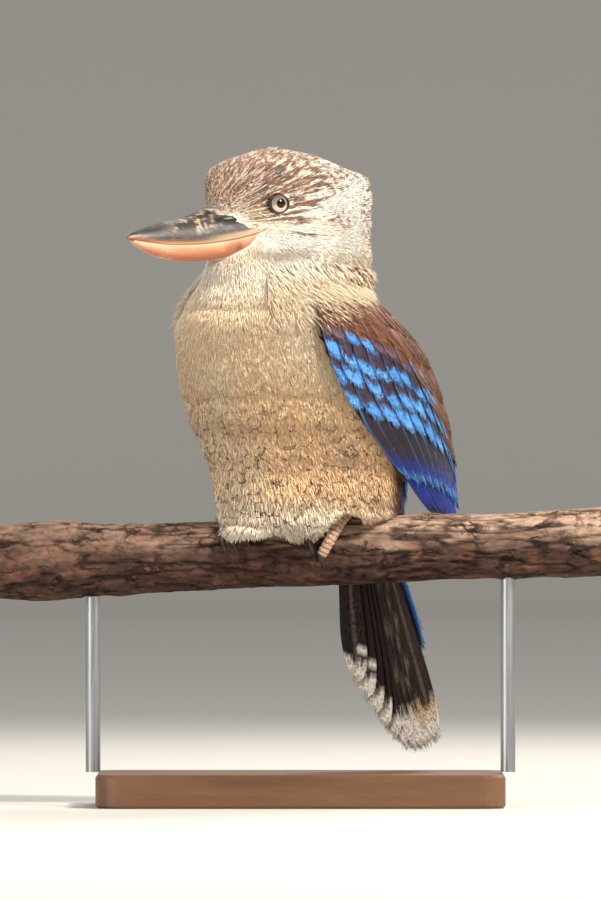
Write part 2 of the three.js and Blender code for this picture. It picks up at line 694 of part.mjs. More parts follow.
const branchGrown = branchLoft(GAP);
let torso = bodyLoft(NECK_FOOT, BELLY, TORSO_STEPS);
torso = torso.subtract(branchGrown);
sides.forEach(({ name, sign, footX }) => {
  const footGrown = footSolid(footX, sign, GAP);
  torso = torso.subtract(footRoom(footX, sign));
  torso = torso.subtract(shankSolid(footX, GAP)).subtract(legSolid(footX, GAP));
  TOES.forEach((toe) => {
    const claw = clawSolid(footX, sign, toe).subtract(footGrown).subtract(branchGrown);
    addMesh(`claw_${name}_${toe.name}`, claw, colours.claw, 0.3);
  });
  addMesh(`foot_${name}`, footSolid(footX, sign, 0).subtract(branchGrown), colours.foot, 0.7);
  addMesh(`leg_${name}`, legSolid(footX, 0).subtract(footGrown), colours.leg, 0.9);
});
addMesh('torso', torso, colours.torso, 0.9);

const tail = tailSolid().subtract(torsoGrown).subtract(branchGrown);
addMesh('tail', tail, colours.tail, 0.7);

const wings = sides.map(({ sign }) => wingSolid(sign).subtract(torsoGrown).subtract(neckGrown));
sides.forEach(({ name }, i) => addMesh(`wing_${name}`, wings[i], colours.wing, 0.7));

const backClear = backSolid().subtract(torsoGrown).subtract(neckGrown);
addMesh('back', backClear.subtract(wings[0]).subtract(wings[1]), colours.back, 0.8);

// Perch and stand.
addMesh('perch_branch', branchLoft(0), colours.bark, 0.95);

function baseSolid() {
  const shape = new THREE.Shape();
  const x = BASE.long / 2 - BASE.bevel;
  const y = BASE.deep / 2 - BASE.bevel;
  const r = BASE.corner - BASE.bevel;
  shape.moveTo(-x + r, -y);
  shape.lineTo(x - r, -y);
  shape.absarc(x - r, -y + r, r, -Math.PI / 2, 0);
  shape.lineTo(x, y - r);
  shape.absarc(x - r, y - r, r, 0, Math.PI / 2);
  shape.lineTo(-x + r, y);
  shape.absarc(-x + r, y - r, r, Math.PI / 2, Math.PI);
  shape.lineTo(-x, -y + r);
  shape.absarc(-x + r, -y + r, r, Math.PI, 1.5 * Math.PI);
  const g = new THREE.ExtrudeGeometry(shape, {
    depth: BASE.high - 2 * BASE.bevel,
    bevelEnabled: true,
    bevelThickness: BASE.bevel,
    bevelSize: BASE.bevel,
    bevelSegments: 1,
    curveSegments: BASE.arcs,
  });
  g.translate(0, 0, BASE.bevel);
  return solid(g);
}

function rodSolid(sign) {
  const foot = BASE.high + GAP;
  const x = sign * ROD.reach;
  const top = branchUp(x);
  const g = new THREE.CylinderGeometry(ROD.radius, ROD.radius, top - foot, 20);
  g.rotateX(Math.PI / 2);
  g.translate(x, 0, (top + foot) / 2);
  return solid(g).subtract(branchGrown);
}

addMesh('stand_base', baseSolid(), colours.wood, 0.5);
sides.forEach(({ name, sign }) => addMesh(`stand_rod_${name}`, rodSolid(sign), colours.steel, 0.35, 0.9));

export default model;
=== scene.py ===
import logging
import math
from dataclasses import dataclass, field
from enum import Enum
from typing import Callable

import bpy
import numpy as np
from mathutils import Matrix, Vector

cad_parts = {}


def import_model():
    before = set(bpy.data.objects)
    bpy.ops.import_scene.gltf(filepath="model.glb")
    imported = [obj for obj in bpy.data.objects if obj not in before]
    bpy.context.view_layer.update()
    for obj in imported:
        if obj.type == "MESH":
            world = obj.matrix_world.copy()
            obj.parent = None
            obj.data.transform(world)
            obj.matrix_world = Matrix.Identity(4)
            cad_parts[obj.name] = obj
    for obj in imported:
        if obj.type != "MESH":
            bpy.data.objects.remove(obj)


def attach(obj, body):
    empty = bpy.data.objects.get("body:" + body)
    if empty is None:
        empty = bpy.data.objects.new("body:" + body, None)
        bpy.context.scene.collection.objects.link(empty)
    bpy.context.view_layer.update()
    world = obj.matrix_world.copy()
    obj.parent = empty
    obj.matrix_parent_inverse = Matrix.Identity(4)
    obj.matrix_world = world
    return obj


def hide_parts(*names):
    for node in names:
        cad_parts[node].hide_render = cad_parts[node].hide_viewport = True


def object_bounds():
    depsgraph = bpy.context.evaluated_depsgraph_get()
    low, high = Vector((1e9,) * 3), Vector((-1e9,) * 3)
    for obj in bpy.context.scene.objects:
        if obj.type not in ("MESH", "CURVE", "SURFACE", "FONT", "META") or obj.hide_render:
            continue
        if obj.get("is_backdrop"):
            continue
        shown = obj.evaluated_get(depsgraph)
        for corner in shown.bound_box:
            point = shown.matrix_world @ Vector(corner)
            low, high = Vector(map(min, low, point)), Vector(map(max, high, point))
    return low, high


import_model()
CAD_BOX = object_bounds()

log = logging.getLogger("kookaburra")
Array = np.ndarray

# Places are worked out in millimetres and go into the meshes in metres.
MM = 0.001
ROOT = "root"
PAINT = "paint"
MARKS = "marks"
BAKE_MAP = "OFBake"
PATCH = 0.003
VANES_IN_ROW = 11
VANE_PATCH = 0.09

# The bird's own frame, as in the solids: forward, left and up, turned from -X towards -Y.
HEADING = math.radians(42)
BIRD_Y = 5.0
BODY_TOP = 355.2
BODY_FOOT = 143.6
CROWN_TOP = 354.0
HEM_FOOT = 146.0
BILL_BASE = (74.0, 0.0, 312.0)
COS, SIN = math.cos(HEADING), math.sin(HEADING)

# Photograph size and scale, which set the camera's framing.
PHOTO_SIZE = (601, 900)
MM_PER_PIXEL = 0.54
FRAME_MIDDLE_UP = 192.2


def rgb(red: float, green: float, blue: float) -> Array:
    """A linear colour from display values of 0 to 255."""
    return (np.array([red, green, blue]) / 255) ** 2.2


def world(forward: Array, left: Array, up: Array) -> Array:
    """Turn the bird's frame into the world's.

    Args:
        forward, left, up: places in the bird's frame, in mm.

    Returns:
        Points with X = -forward cos + left sin, Y = BIRD_Y - forward sin - left cos, Z = up.
    """
    forward, left, up = np.broadcast_arrays(forward, left, up)
    return np.stack([-forward * COS + left * SIN, BIRD_Y - forward * SIN - left * COS, up], -1)


def turned(forward: float, left: float, up: float) -> Array:
    """A direction of the bird's frame as a direction of the world."""
    return world(forward, left, up) - world(0.0, 0.0, 0.0)


def bird(points: Array) -> tuple[Array, Array, Array]:
    """Forward, left and up of world points, the inverse of world()."""
    x, y, z = points[..., 0], points[..., 1] - BIRD_Y, points[..., 2]
    return -x * COS - y * SIN, x * SIN - y * COS, z


def smooth(places: Array, values: Array, at: Array) -> Array:
    """Cubic through the values, with slopes held back so that it never overshoots.

    Args:
        places: where the values stand, rising or falling.
        values: the values there.
        at: where to read.

    Returns:
        The value at each place of `at`, held constant past both ends.
    """
    p, v = np.asarray(places, float), np.asarray(values, float)
    if p[0] > p[-1]:
        p, v = p[::-1], v[::-1]
    x = np.clip(at, p[0], p[-1])
    i = np.clip(np.searchsorted(p, x, side="right") - 1, 0, len(p) - 2)
    low, high = np.maximum(np.arange(len(p)) - 1, 0), np.minimum(np.arange(len(p)) + 1, len(p) - 1)
    slope = (v[high] - v[low]) / (p[high] - p[low])
    span = p[i + 1] - p[i]
    rise = (v[i + 1] - v[i]) / span
    t = (x - p[i]) / span

    def held(s: Array) -> Array:
        return np.where(s * rise <= 0, 0, np.sign(s) * np.minimum(np.abs(s), 3 * np.abs(rise))) * span

    t2, t3 = t * t, t * t * t
    return ((2 * t3 - 3 * t2 + 1) * v[i] + (t3 - 2 * t2 + t) * held(slope[i])
            + (3 * t2 - 2 * t3) * v[i + 1] + (t3 - t2) * held(slope[i + 1]))


def step(low: float, high: float, x: Array) -> Array:
    """Smooth step from 0 at low to 1 at high."""
    t = np.clip((x - low) / (high - low), 0, 1)
    return t * t * (3 - 2 * t)


def mix(a: Array, b: Array, t: Array) -> Array:
    """Blend of two colours by t."""
    t = np.asarray(t)[..., None]
    return a * (1 - t) + b * t


def unit(v: Array) -> Array:
    """Vectors at length one."""
    return v / np.maximum(np.linalg.norm(v, axis=-1, keepdims=True), 1e-9)


def noise(points: Array, size: float | Array = 1.0, seed: int = 0) -> Array:
    """Value noise between 0 and 1: hashed corners of a lattice, blended by smooth steps.

    Args:
        points: places, shape (..., 3).
        size: the lattice's cell, one number or one for each axis.
        seed: picks another pattern.

    Returns:
        One value for each point.
    """
    p = points / np.asarray(size) + 1000.0
    cell = np.floor(p).astype(np.int64)
    f = p - cell
    f = f * f * (3 - 2 * f)
    total = 0.0
    for corner in np.ndindex(2, 2, 2):
        c = cell + np.array(corner)
        h = (c[..., 0] * 73856093) ^ (c[..., 1] * 19349663) ^ (c[..., 2] * 83492791) ^ (seed * 2654435761)
        h = (h ^ (h >> 13)) * 1274126177 & 0x7FFFFFFF
        weight = np.prod(np.where(corner, f, 1 - f), axis=-1)
        total = total + weight * (h % 65536) / 65535
    return total


def layers(points: Array, size: float | Array, seed: int = 0, count: int = 3) -> Array:
    """Noise of several sizes added together, each half the size and weight of the last."""
    parts = [noise(points, np.asarray(size) / 2 ** k, seed + k) / 2 ** k for k in range(count)]
    return sum(parts) / sum(0.5 ** k for k in range(count))


def add_piece(name: str, points: Array, faces: Array, paint: Array | None = None,
              uv: Array | None = None, marks: Array | None = None) -> bpy.types.Object:
    """Make one mesh object at the origin.

    Args:
        name: the piece's name.
        points: vertices in mm, shape (n, 3).
        faces: quads, shape (m, 4); a triangle repeats its last corner.
        paint: one linear colour for each vertex.
        uv: one place on the bake map for each vertex.
        marks: strength of the head's streaks and of the breast's bars for each vertex, shape (n, 2).

    Returns:
        The new object, linked to the scene.
    """
    quads = np.asarray(faces, np.int32)
    is_quad = quads[:, 2] != quads[:, 3]
    sizes = np.where(is_quad, 4, 3)
    keep = np.ones(quads.shape, bool)
    keep[:, 3] = is_quad
    corners = quads[keep]
    mesh = bpy.data.meshes.new(name)
    mesh.vertices.add(len(points))
    mesh.vertices.foreach_set("co", (points * MM).astype(np.float32).ravel())
    mesh.loops.add(len(corners))
    mesh.loops.foreach_set("vertex_index", corners)
    mesh.polygons.add(len(quads))
    mesh.polygons.foreach_set("loop_start", np.concatenate([[0], np.cumsum(sizes)[:-1]]).astype(np.int32))
    mesh.polygons.foreach_set("use_smooth", np.ones(len(quads), bool))
    mesh.update(calc_edges=True)
    both = None if marks is None else np.concatenate([marks, np.zeros((len(points), 1))], 1)
    for layer_name, values in ((PAINT, paint), (MARKS, both)):
        if values is not None:
            layer = mesh.color_attributes.new(layer_name, "FLOAT_COLOR", "POINT")
            rgba = np.concatenate([np.clip(values, 0, 1), np.ones((len(points), 1))], 1)
            layer.data.foreach_set("color", rgba.astype(np.float32).ravel())
    if uv is not None:
        layer = mesh.uv_layers.new(name=BAKE_MAP)
        layer.data.foreach_set("uv", uv[corners].astype(np.float32).ravel())
    made = bpy.data.objects.new(name, mesh)
    bpy.context.scene.collection.objects.link(made)
    return made


def grid_faces(rows: int, cols: int, wrap: bool = False, offset: int = 0) -> Array:
    """Quads of a grid of points laid row by row; wrap joins the last column to the first."""
    r = np.arange(rows - 1)[:, None]
    c = np.arange(cols if wrap else cols - 1)[None, :]
    d = (c + 1) % cols
    return np.stack([r * cols + c, r * cols + d, (r + 1) * cols + d, (r + 1) * cols + c], -1
                    ).reshape(-1, 4) + offset


def outward(points: Array, faces: Array) -> Array:
    """Faces turned so that a closed mesh holds a positive volume."""
    a, b, c = points[faces[:, 0]], points[faces[:, 1]], points[faces[:, 2]]
    d = points[faces[:, 3]]
    size = np.einsum("ij,ij->i", a, np.cross(b, c)) + np.einsum("ij,ij->i", a, np.cross(c, d))
    if size.sum() > 0:
        return faces
    is_quad = faces[:, 2] != faces[:, 3]
    return np.where(is_quad[:, None], faces[:, [3, 2, 1, 0]], faces[:, [1, 0, 2, 2]])


def closed_tube(rings: Array) -> tuple[Array, Array]:
    """A closed body through rings of points, shape (rows, cols, 3), each end closed by a fan."""
    rows, cols, _ = rings.shape
    points = np.concatenate([rings.reshape(-1, 3), [rings[0].mean(0)], [rings[-1].mean(0)]])
    c = np.arange(cols)
    d = (c + 1) % cols
    first, last = rows * cols, rows * cols + 1
    top = (rows - 1) * cols
    ends = np.concatenate([np.stack([d, c, np.full(cols, first), np.full(cols, first)], 1),
                           np.stack([top + c, top + d, np.full(cols, last), np.full(cols, last)], 1)])
    faces = np.concatenate([grid_faces(rows, cols, wrap=True), ends])
    return points, outward(points, faces)


def path_rings(path: Array, radii: Array, sides: int, bend: Array | None = None) -> Array:
    """Rings round a path: each ring lies across the path's direction, with the given radii.

    Args:
        path: points in mm, shape (rows, 3).
        radii: one radius for each row, or one for each row and side.
        sides: points round a ring.
        bend: a direction that the rings' first point keeps to.

    Returns:
        Rings of shape (rows, sides, 3).
    """
    along = unit(np.gradient(path, axis=0))
    up = np.array([0.0, 0.0, 1.0]) if bend is None else bend
    across = unit(np.cross(along, up))
    over = unit(np.cross(across, along))
    a = np.linspace(0, 2 * np.pi, sides, endpoint=False)
    r = np.broadcast_to(np.asarray(radii)[..., None] if np.ndim(radii) == 1 else radii, (len(path), sides))
    return path[:, None] + r[..., None] * (np.cos(a)[None, :, None] * over[:, None]
                                           + np.sin(a)[None, :, None] * across[:, None])


def dress(obj: bpy.types.Object, material: bpy.types.Material, slot: str, *replaced: str) -> None:
    """Give a piece its material and tie it to the frame."""
    obj.data.materials.clear()
    obj.data.materials.append(material)
    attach(obj, ROOT)
    if replaced:
        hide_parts(*replaced)


class Socket(Enum):
    """Names of the surface shader's sockets that the finishes set."""

    COLOUR = "Base Color"
    ROUGH = "Roughness"
    METAL = "Metallic"
    SHEEN = "Sheen Weight"
    SHEEN_ROUGH = "Sheen Roughness"
    COAT = "Coat Weight"
    COAT_ROUGH = "Coat Roughness"
    SPECULAR = "Specular IOR Level"
    SUBSURFACE = "Subsurface Weight"
    NORMAL = "Normal"


class Tree:
    """A material's node tree with short ways to add and join nodes."""

    def __init__(self, name: str) -> None:
        """Start a material with one surface shader."""
        self.material = bpy.data.materials.new(name)
        self.material.use_nodes = True
        self.nodes = self.material.node_tree.nodes
        self.links = self.material.node_tree.links
        self.shader = self.nodes["Principled BSDF"]

    def set(self, socket: Socket, value: float | tuple) -> None:
        """Set one of the shader's sockets."""
        self.shader.inputs[socket.value].default_value = value

    def join(self, out: bpy.types.NodeSocket, into: bpy.types.NodeSocket) -> None:
        """Link two sockets."""
        self.links.new(out, into)

    def place(self, scale: tuple[float, float, float] = (1, 1, 1)) -> bpy.types.NodeSocket:
        """Object coordinates, scaled."""
        coords = self.nodes.new("ShaderNodeTexCoord")
        mapping = self.nodes.new("ShaderNodeMapping")
        mapping.inputs["Scale"].default_value = scale
        self.join(coords.outputs["Object"], mapping.inputs["Vector"])
        return mapping.outputs["Vector"]

    def paint(self, name: str = PAINT) -> bpy.types.NodeSocket:
        """The piece's own painted colour, or another of its colour layers."""
        node = self.nodes.new("ShaderNodeAttribute")
        node.attribute_name = name
        return node.outputs["Color"]

    def work(self, kind: str, way: str, *values: bpy.types.NodeSocket | float
             | tuple) -> bpy.types.NodeSocket:
        """A sum on numbers or vectors; the first output that is in use."""
        node = self.nodes.new(kind)
        node.operation = way
        for value, socket in zip(values, node.inputs):
            if isinstance(value, bpy.types.NodeSocket):
                self.join(value, socket)
            else:
                socket.default_value = value
        return next(out for out in node.outputs if out.enabled)

    def maths(self, way: str, *values: bpy.types.NodeSocket | float) -> bpy.types.NodeSocket:
        """A sum on numbers."""
        return self.work("ShaderNodeMath", way, *values)

    def vector(self, way: str, *values: bpy.types.NodeSocket | tuple) -> bpy.types.NodeSocket:
        """A sum on vectors."""
        return self.work("ShaderNodeVectorMath", way, *values)

    def cloud(self, scale: float, detail: float = 4, rough: float = 0.6,
              stretch: tuple[float, float, float] = (1, 1, 1), at: bpy.types.NodeSocket | None = None,
              out: str = "Fac") -> bpy.types.NodeSocket:
        """A noise texture, on Object coordinates where no place is given."""
        node = self.nodes.new("ShaderNodeTexNoise")
        node.inputs["Scale"].default_value = scale
        node.inputs["Detail"].default_value = detail
        node.inputs["Roughness"].default_value = rough
        self.join(at or self.place(stretch), node.inputs["Vector"])
        return node.outputs[out]

    def cells(self, scale: float, stretch: tuple[float, float, float] = (1, 1, 1),
              at: bpy.types.NodeSocket | None = None) -> bpy.types.NodeSocket:
        """Distance to the edges of a cell texture, on Object coordinates where no place is given."""
        node = self.nodes.new("ShaderNodeTexVoronoi")
        node.feature = "DISTANCE_TO_EDGE"
        node.inputs["Scale"].default_value = scale
        self.join(at or self.place(stretch), node.inputs["Vector"])
        return node.outputs["Distance"]

    def spread(self, value: bpy.types.NodeSocket, low: float, high: float,
               to_low: float = 0.0, to_high: float = 1.0) -> bpy.types.NodeSocket:
        """Stretch a value's range and hold it there."""
        node = self.nodes.new("ShaderNodeMapRange")
        for name, number in zip(("From Min", "From Max", "To Min", "To Max"), (low, high, to_low, to_high)):
            node.inputs[name].default_value = number
        self.join(value, node.inputs["Value"])
        return node.outputs["Result"]

    def blend(self, amount: bpy.types.NodeSocket | float, a: bpy.types.NodeSocket | Array,
              b: bpy.types.NodeSocket | Array, way: str = "MIX") -> bpy.types.NodeSocket:
        """Mix two colours by an amount."""
        node = self.nodes.new("ShaderNodeMix")
        node.data_type = "RGBA"
        node.blend_type = way
        for value, socket in ((amount, node.inputs[0]), (a, node.inputs[6]), (b, node.inputs[7])):
            if isinstance(value, bpy.types.NodeSocket):
                self.join(value, socket)
            elif isinstance(value, float):
                socket.default_value = value
            else:
                socket.default_value = (*value, 1)
        return node.outputs[2]

    def bump(self, height: bpy.types.NodeSocket, strength: float, depth: float) -> None:
        """Raise the surface by a height, in metres of depth."""
        node = self.nodes.new("ShaderNodeBump")
        node.inputs["Strength"].default_value = strength
        node.inputs["Distance"].default_value = depth
        self.join(height, node.inputs["Height"])
        self.join(node.outputs["Normal"], self.shader.inputs[Socket.NORMAL.value])

    def colour(self, out: bpy.types.NodeSocket) -> None:
        """Use a colour as the surface's."""
        self.join(out, self.shader.inputs[Socket.COLOUR.value])


@dataclass(frozen=True)
class PlumageFinish:
    """Soft feathers: the painted markings with fine light and dark barbs."""

    name: str
    rough: float = 0.8
    sheen: float = 0.15
    barbs: float = 900
    vary: float = 0.22
    marked: bool = False

    def mark(self, t: Tree, ground: bpy.types.NodeSocket) -> bpy.types.NodeSocket:
        """Rusty streaks that fan back from the bill, and thin broken bars round feather-sized cells."""
        parts = t.nodes.new("ShaderNodeSeparateColor")
        t.join(t.paint(MARKS), parts.inputs["Color"])
        many, bars = parts.outputs["Red"], parts.outputs["Green"]
        place = t.place()
        ray = t.vector("NORMALIZE", t.vector("SUBTRACT", place, tuple(world(*BILL_BASE) * MM)))
        fan = t.cloud(33, 2, 0.5, at=t.vector("MULTIPLY_ADD", place, (1.1, 1.1, 1.1), ray))
        streak = t.spread(t.maths("MULTIPLY_ADD", many, 0.12, fan), 0.555, 0.615)
        streak = t.maths("MULTIPLY", streak, t.spread(many, 0.02, 0.25, 0.0, 0.9))
        tint = t.blend(t.spread(t.cloud(160, 3), 0.4, 0.62), HUE.rust, HUE.streak)
        ground = t.blend(streak, ground, tint)
        bend = t.vector("MULTIPLY_ADD", t.cloud(170, 3, out="Color"), (0.009, 0.009, 0.009),
                        t.place((1, 1, 1.35)))
        line = t.spread(t.cells(112, at=bend), 0.02, 0.06, 0.9, 0.0)
        line = t.maths("MULTIPLY", line, t.spread(t.cloud(250, 2), 0.46, 0.54))
        fleck = t.spread(t.cloud(480, 2, stretch=(1, 1, 0.3)), 0.64, 0.7, 0.0, 0.7)
        line = t.maths("MULTIPLY", t.maths("MAXIMUM", line, fleck), bars)
        return t.blend(line, ground, HUE.streak)

    def make(self) -> bpy.types.Material:
        """Build the material."""
        t = Tree(self.name)
        ground = self.mark(t, t.paint()) if self.marked else t.paint()
        fine = t.spread(t.cloud(self.barbs, 3, 0.6), 0.3, 0.7, 1 - self.vary, 1 + self.vary * 0.6)
        grey = t.nodes.new("ShaderNodeCombineColor")
        for channel in ("Red", "Green", "Blue"):
            t.join(fine, grey.inputs[channel])
        t.colour(t.blend(1.0, ground, grey.outputs["Color"], "MULTIPLY"))
        t.set(Socket.ROUGH, self.rough)
        t.set(Socket.SHEEN, self.sheen)
        t.set(Socket.SPECULAR, 0.25)
        t.bump(t.cloud(self.barbs * 1.3, 2, 0.5), 0.35, 0.0002)
        return t.material


@dataclass(frozen=True)
class HornFinish:
    """Horn of the bill: painted colour with fine grain and worn, paler scuffs."""

    name: str
    scuff: tuple[float, float, float]
    worn: float = 0.35
    rough: float = 0.38

    def make(self) -> bpy.types.Material:
        """Build the material."""
        t = Tree(self.name)
        turn = (1.0, 1.0, 2.6)
        scrape = t.spread(t.cloud(90, 8, 0.72, turn), 0.56, 0.66)
        patch = t.spread(t.cloud(28, 4, 0.6), 0.42, 0.62)
        both = t.nodes.new("ShaderNodeMath")
        both.operation = "MULTIPLY"
        t.join(scrape, both.inputs[0])
        t.join(patch, both.inputs[1])
        amount = t.spread(both.outputs[0], 0.0, 1.0, 0.0, self.worn)
        t.colour(t.blend(amount, t.paint(), np.array(self.scuff)))
        t.join(t.spread(t.cloud(220, 5, 0.6, turn), 0.3, 0.7, self.rough - 0.1, self.rough + 0.16),
               t.shader.inputs[Socket.ROUGH.value])
        t.set(Socket.SPECULAR, 0.5)
        t.bump(t.cloud(160, 7, 0.65, turn), 0.5, 0.0004)
        return t.material


@dataclass(frozen=True)
class WetFinish:
    """A wet eye: painted iris and pupil under a clear coat."""

    name: str

    def make(self) -> bpy.types.Material:
        """Build the material."""
        t = Tree(self.name)
        t.colour(t.paint())
        t.set(Socket.ROUGH, 0.18)
        t.set(Socket.COAT, 0.6)
        t.set(Socket.COAT_ROUGH, 0.02)
        t.set(Socket.SPECULAR, 0.15)
        return t.material


@dataclass(frozen=True)
class ScaleFinish:
    """Scaly skin of the toes and the lids' bare rims."""

    name: str
    cell: float = 520
    rough: float = 0.55

    def make(self) -> bpy.types.Material:
        """Build the material."""
        t = Tree(self.name)
        edge = t.cells(self.cell)
        seam = t.spread(edge, 0.0, 0.16, 0.45, 1.0)
        shade = t.nodes.new("ShaderNodeCombineColor")
        for channel in ("Red", "Green", "Blue"):
            t.join(seam, shade.inputs[channel])
        t.colour(t.blend(1.0, t.paint(), shade.outputs["Color"], "MULTIPLY"))
        t.set(Socket.ROUGH, self.rough)
        t.set(Socket.SPECULAR, 0.4)
        t.bump(t.spread(edge, 0.0, 0.25), 0.6, 0.0004)
        return t.material


@dataclass(frozen=True)
class BarkFinish:
    """Rough bark: painted fissures and knots with flaking grain."""

    name: str

    def make(self) -> bpy.types.Material:
        """Build the material."""
        t = Tree(self.name)
        grain = t.cloud(85, 10, 0.7, (0.35, 1.0, 1.0))
        fleck = t.spread(t.cloud(340, 6, 0.7, (0.5, 1.0, 1.0)), 0.35, 0.7, 0.55, 1.35)
        grey = t.nodes.new("ShaderNodeCombineColor")
        for channel in ("Red", "Green", "Blue"):
            t.join(fleck, grey.inputs[channel])
        lit = t.blend(1.0, t.paint(), grey.outputs["Color"], "MULTIPLY")
        dark = t.spread(grain, 0.3, 0.48, 0.75, 0.0)
        bend = t.vector("MULTIPLY_ADD", t.cloud(120, 4, out="Color"), (0.012, 0.012, 0.012),
                        t.place((0.45, 1, 1)))
        split = t.spread(t.cells(110, at=bend), 0.02, 0.1, 1.0, 0.0)
        split = t.maths("MULTIPLY", split, t.spread(t.cloud(60, 3), 0.45, 0.6, 0.0, 0.8))
        t.colour(t.blend(t.maths("MAXIMUM", dark, split), lit, rgb(40, 27, 22)))
        t.set(Socket.ROUGH, 0.88)
        t.set(Socket.SPECULAR, 0.2)
        t.bump(t.maths("SUBTRACT", t.cloud(230, 10, 0.75, (0.5, 1.0, 1.0)), split), 1.0, 0.002)
        return t.material


@dataclass(frozen=True)
class PlainFinish:
    """Timber, steel or claw: one colour with grain along an axis."""

    name: str
    dark: tuple[float, float, float]
    light: tuple[float, float, float]
    grain: float = 30
    stretch: tuple[float, float, float] = (1, 1, 1)
    rough: float = 0.4
    metal: float = 0.0
    depth: float = 0.0002

    def make(self) -> bpy.types.Material:
        """Build the material."""
        t = Tree(self.name)
        band = t.cloud(self.grain, 8, 0.65, self.stretch)
        t.colour(t.blend(t.spread(band, 0.3, 0.7), np.array(self.dark), np.array(self.light)))
        t.join(t.spread(band, 0.2, 0.8, self.rough - 0.06, self.rough + 0.1),
               t.shader.inputs[Socket.ROUGH.value])
        t.set(Socket.METAL, self.metal)
        t.bump(band, 0.3, self.depth)
        return t.material


@dataclass(frozen=True)
class Colours:
    """Linear colours of the bird and its perch."""

    white: Array = field(default_factory=lambda: rgb(255, 249, 238))
    cream: Array = field(default_factory=lambda: rgb(252, 234, 206))
    grey_buff: Array = field(default_factory=lambda: rgb(210, 184, 154))
    buff: Array = field(default_factory=lambda: rgb(247, 218, 180))
    orange_buff: Array = field(default_factory=lambda: rgb(245, 201, 150))
    rust: Array = field(default_factory=lambda: rgb(140, 84, 52))
    streak: Array = field(default_factory=lambda: rgb(82, 48, 32))
    brown: Array = field(default_factory=lambda: rgb(92, 56, 42))
    pale_brown: Array = field(default_factory=lambda: rgb(172, 118, 88))
    dark: Array = field(default_factory=lambda: rgb(30, 24, 28))
    purple: Array = field(default_factory=lambda: rgb(66, 50, 72))
    sky: Array = field(default_factory=lambda: rgb(82, 150, 226))
    pale_sky: Array = field(default_factory=lambda: rgb(138, 192, 240))
    royal: Array = field(default_factory=lambda: rgb(18, 42, 132))
    slate: Array = field(default_factory=lambda: rgb(58, 52, 52))
    horn: Array = field(default_factory=lambda: rgb(212, 146, 112))
    horn_cream: Array = field(default_factory=lambda: rgb(226, 194, 158))
    toe: Array = field(default_factory=lambda: rgb(214, 178, 150))
    bark: Array = field(default_factory=lambda: rgb(112, 84, 74))
    # Painted light: the pale colour of the branch's lit top.
    bark_painted_lit_top: Array = field(default_factory=lambda: rgb(192, 160, 138))


HUE = Colours()


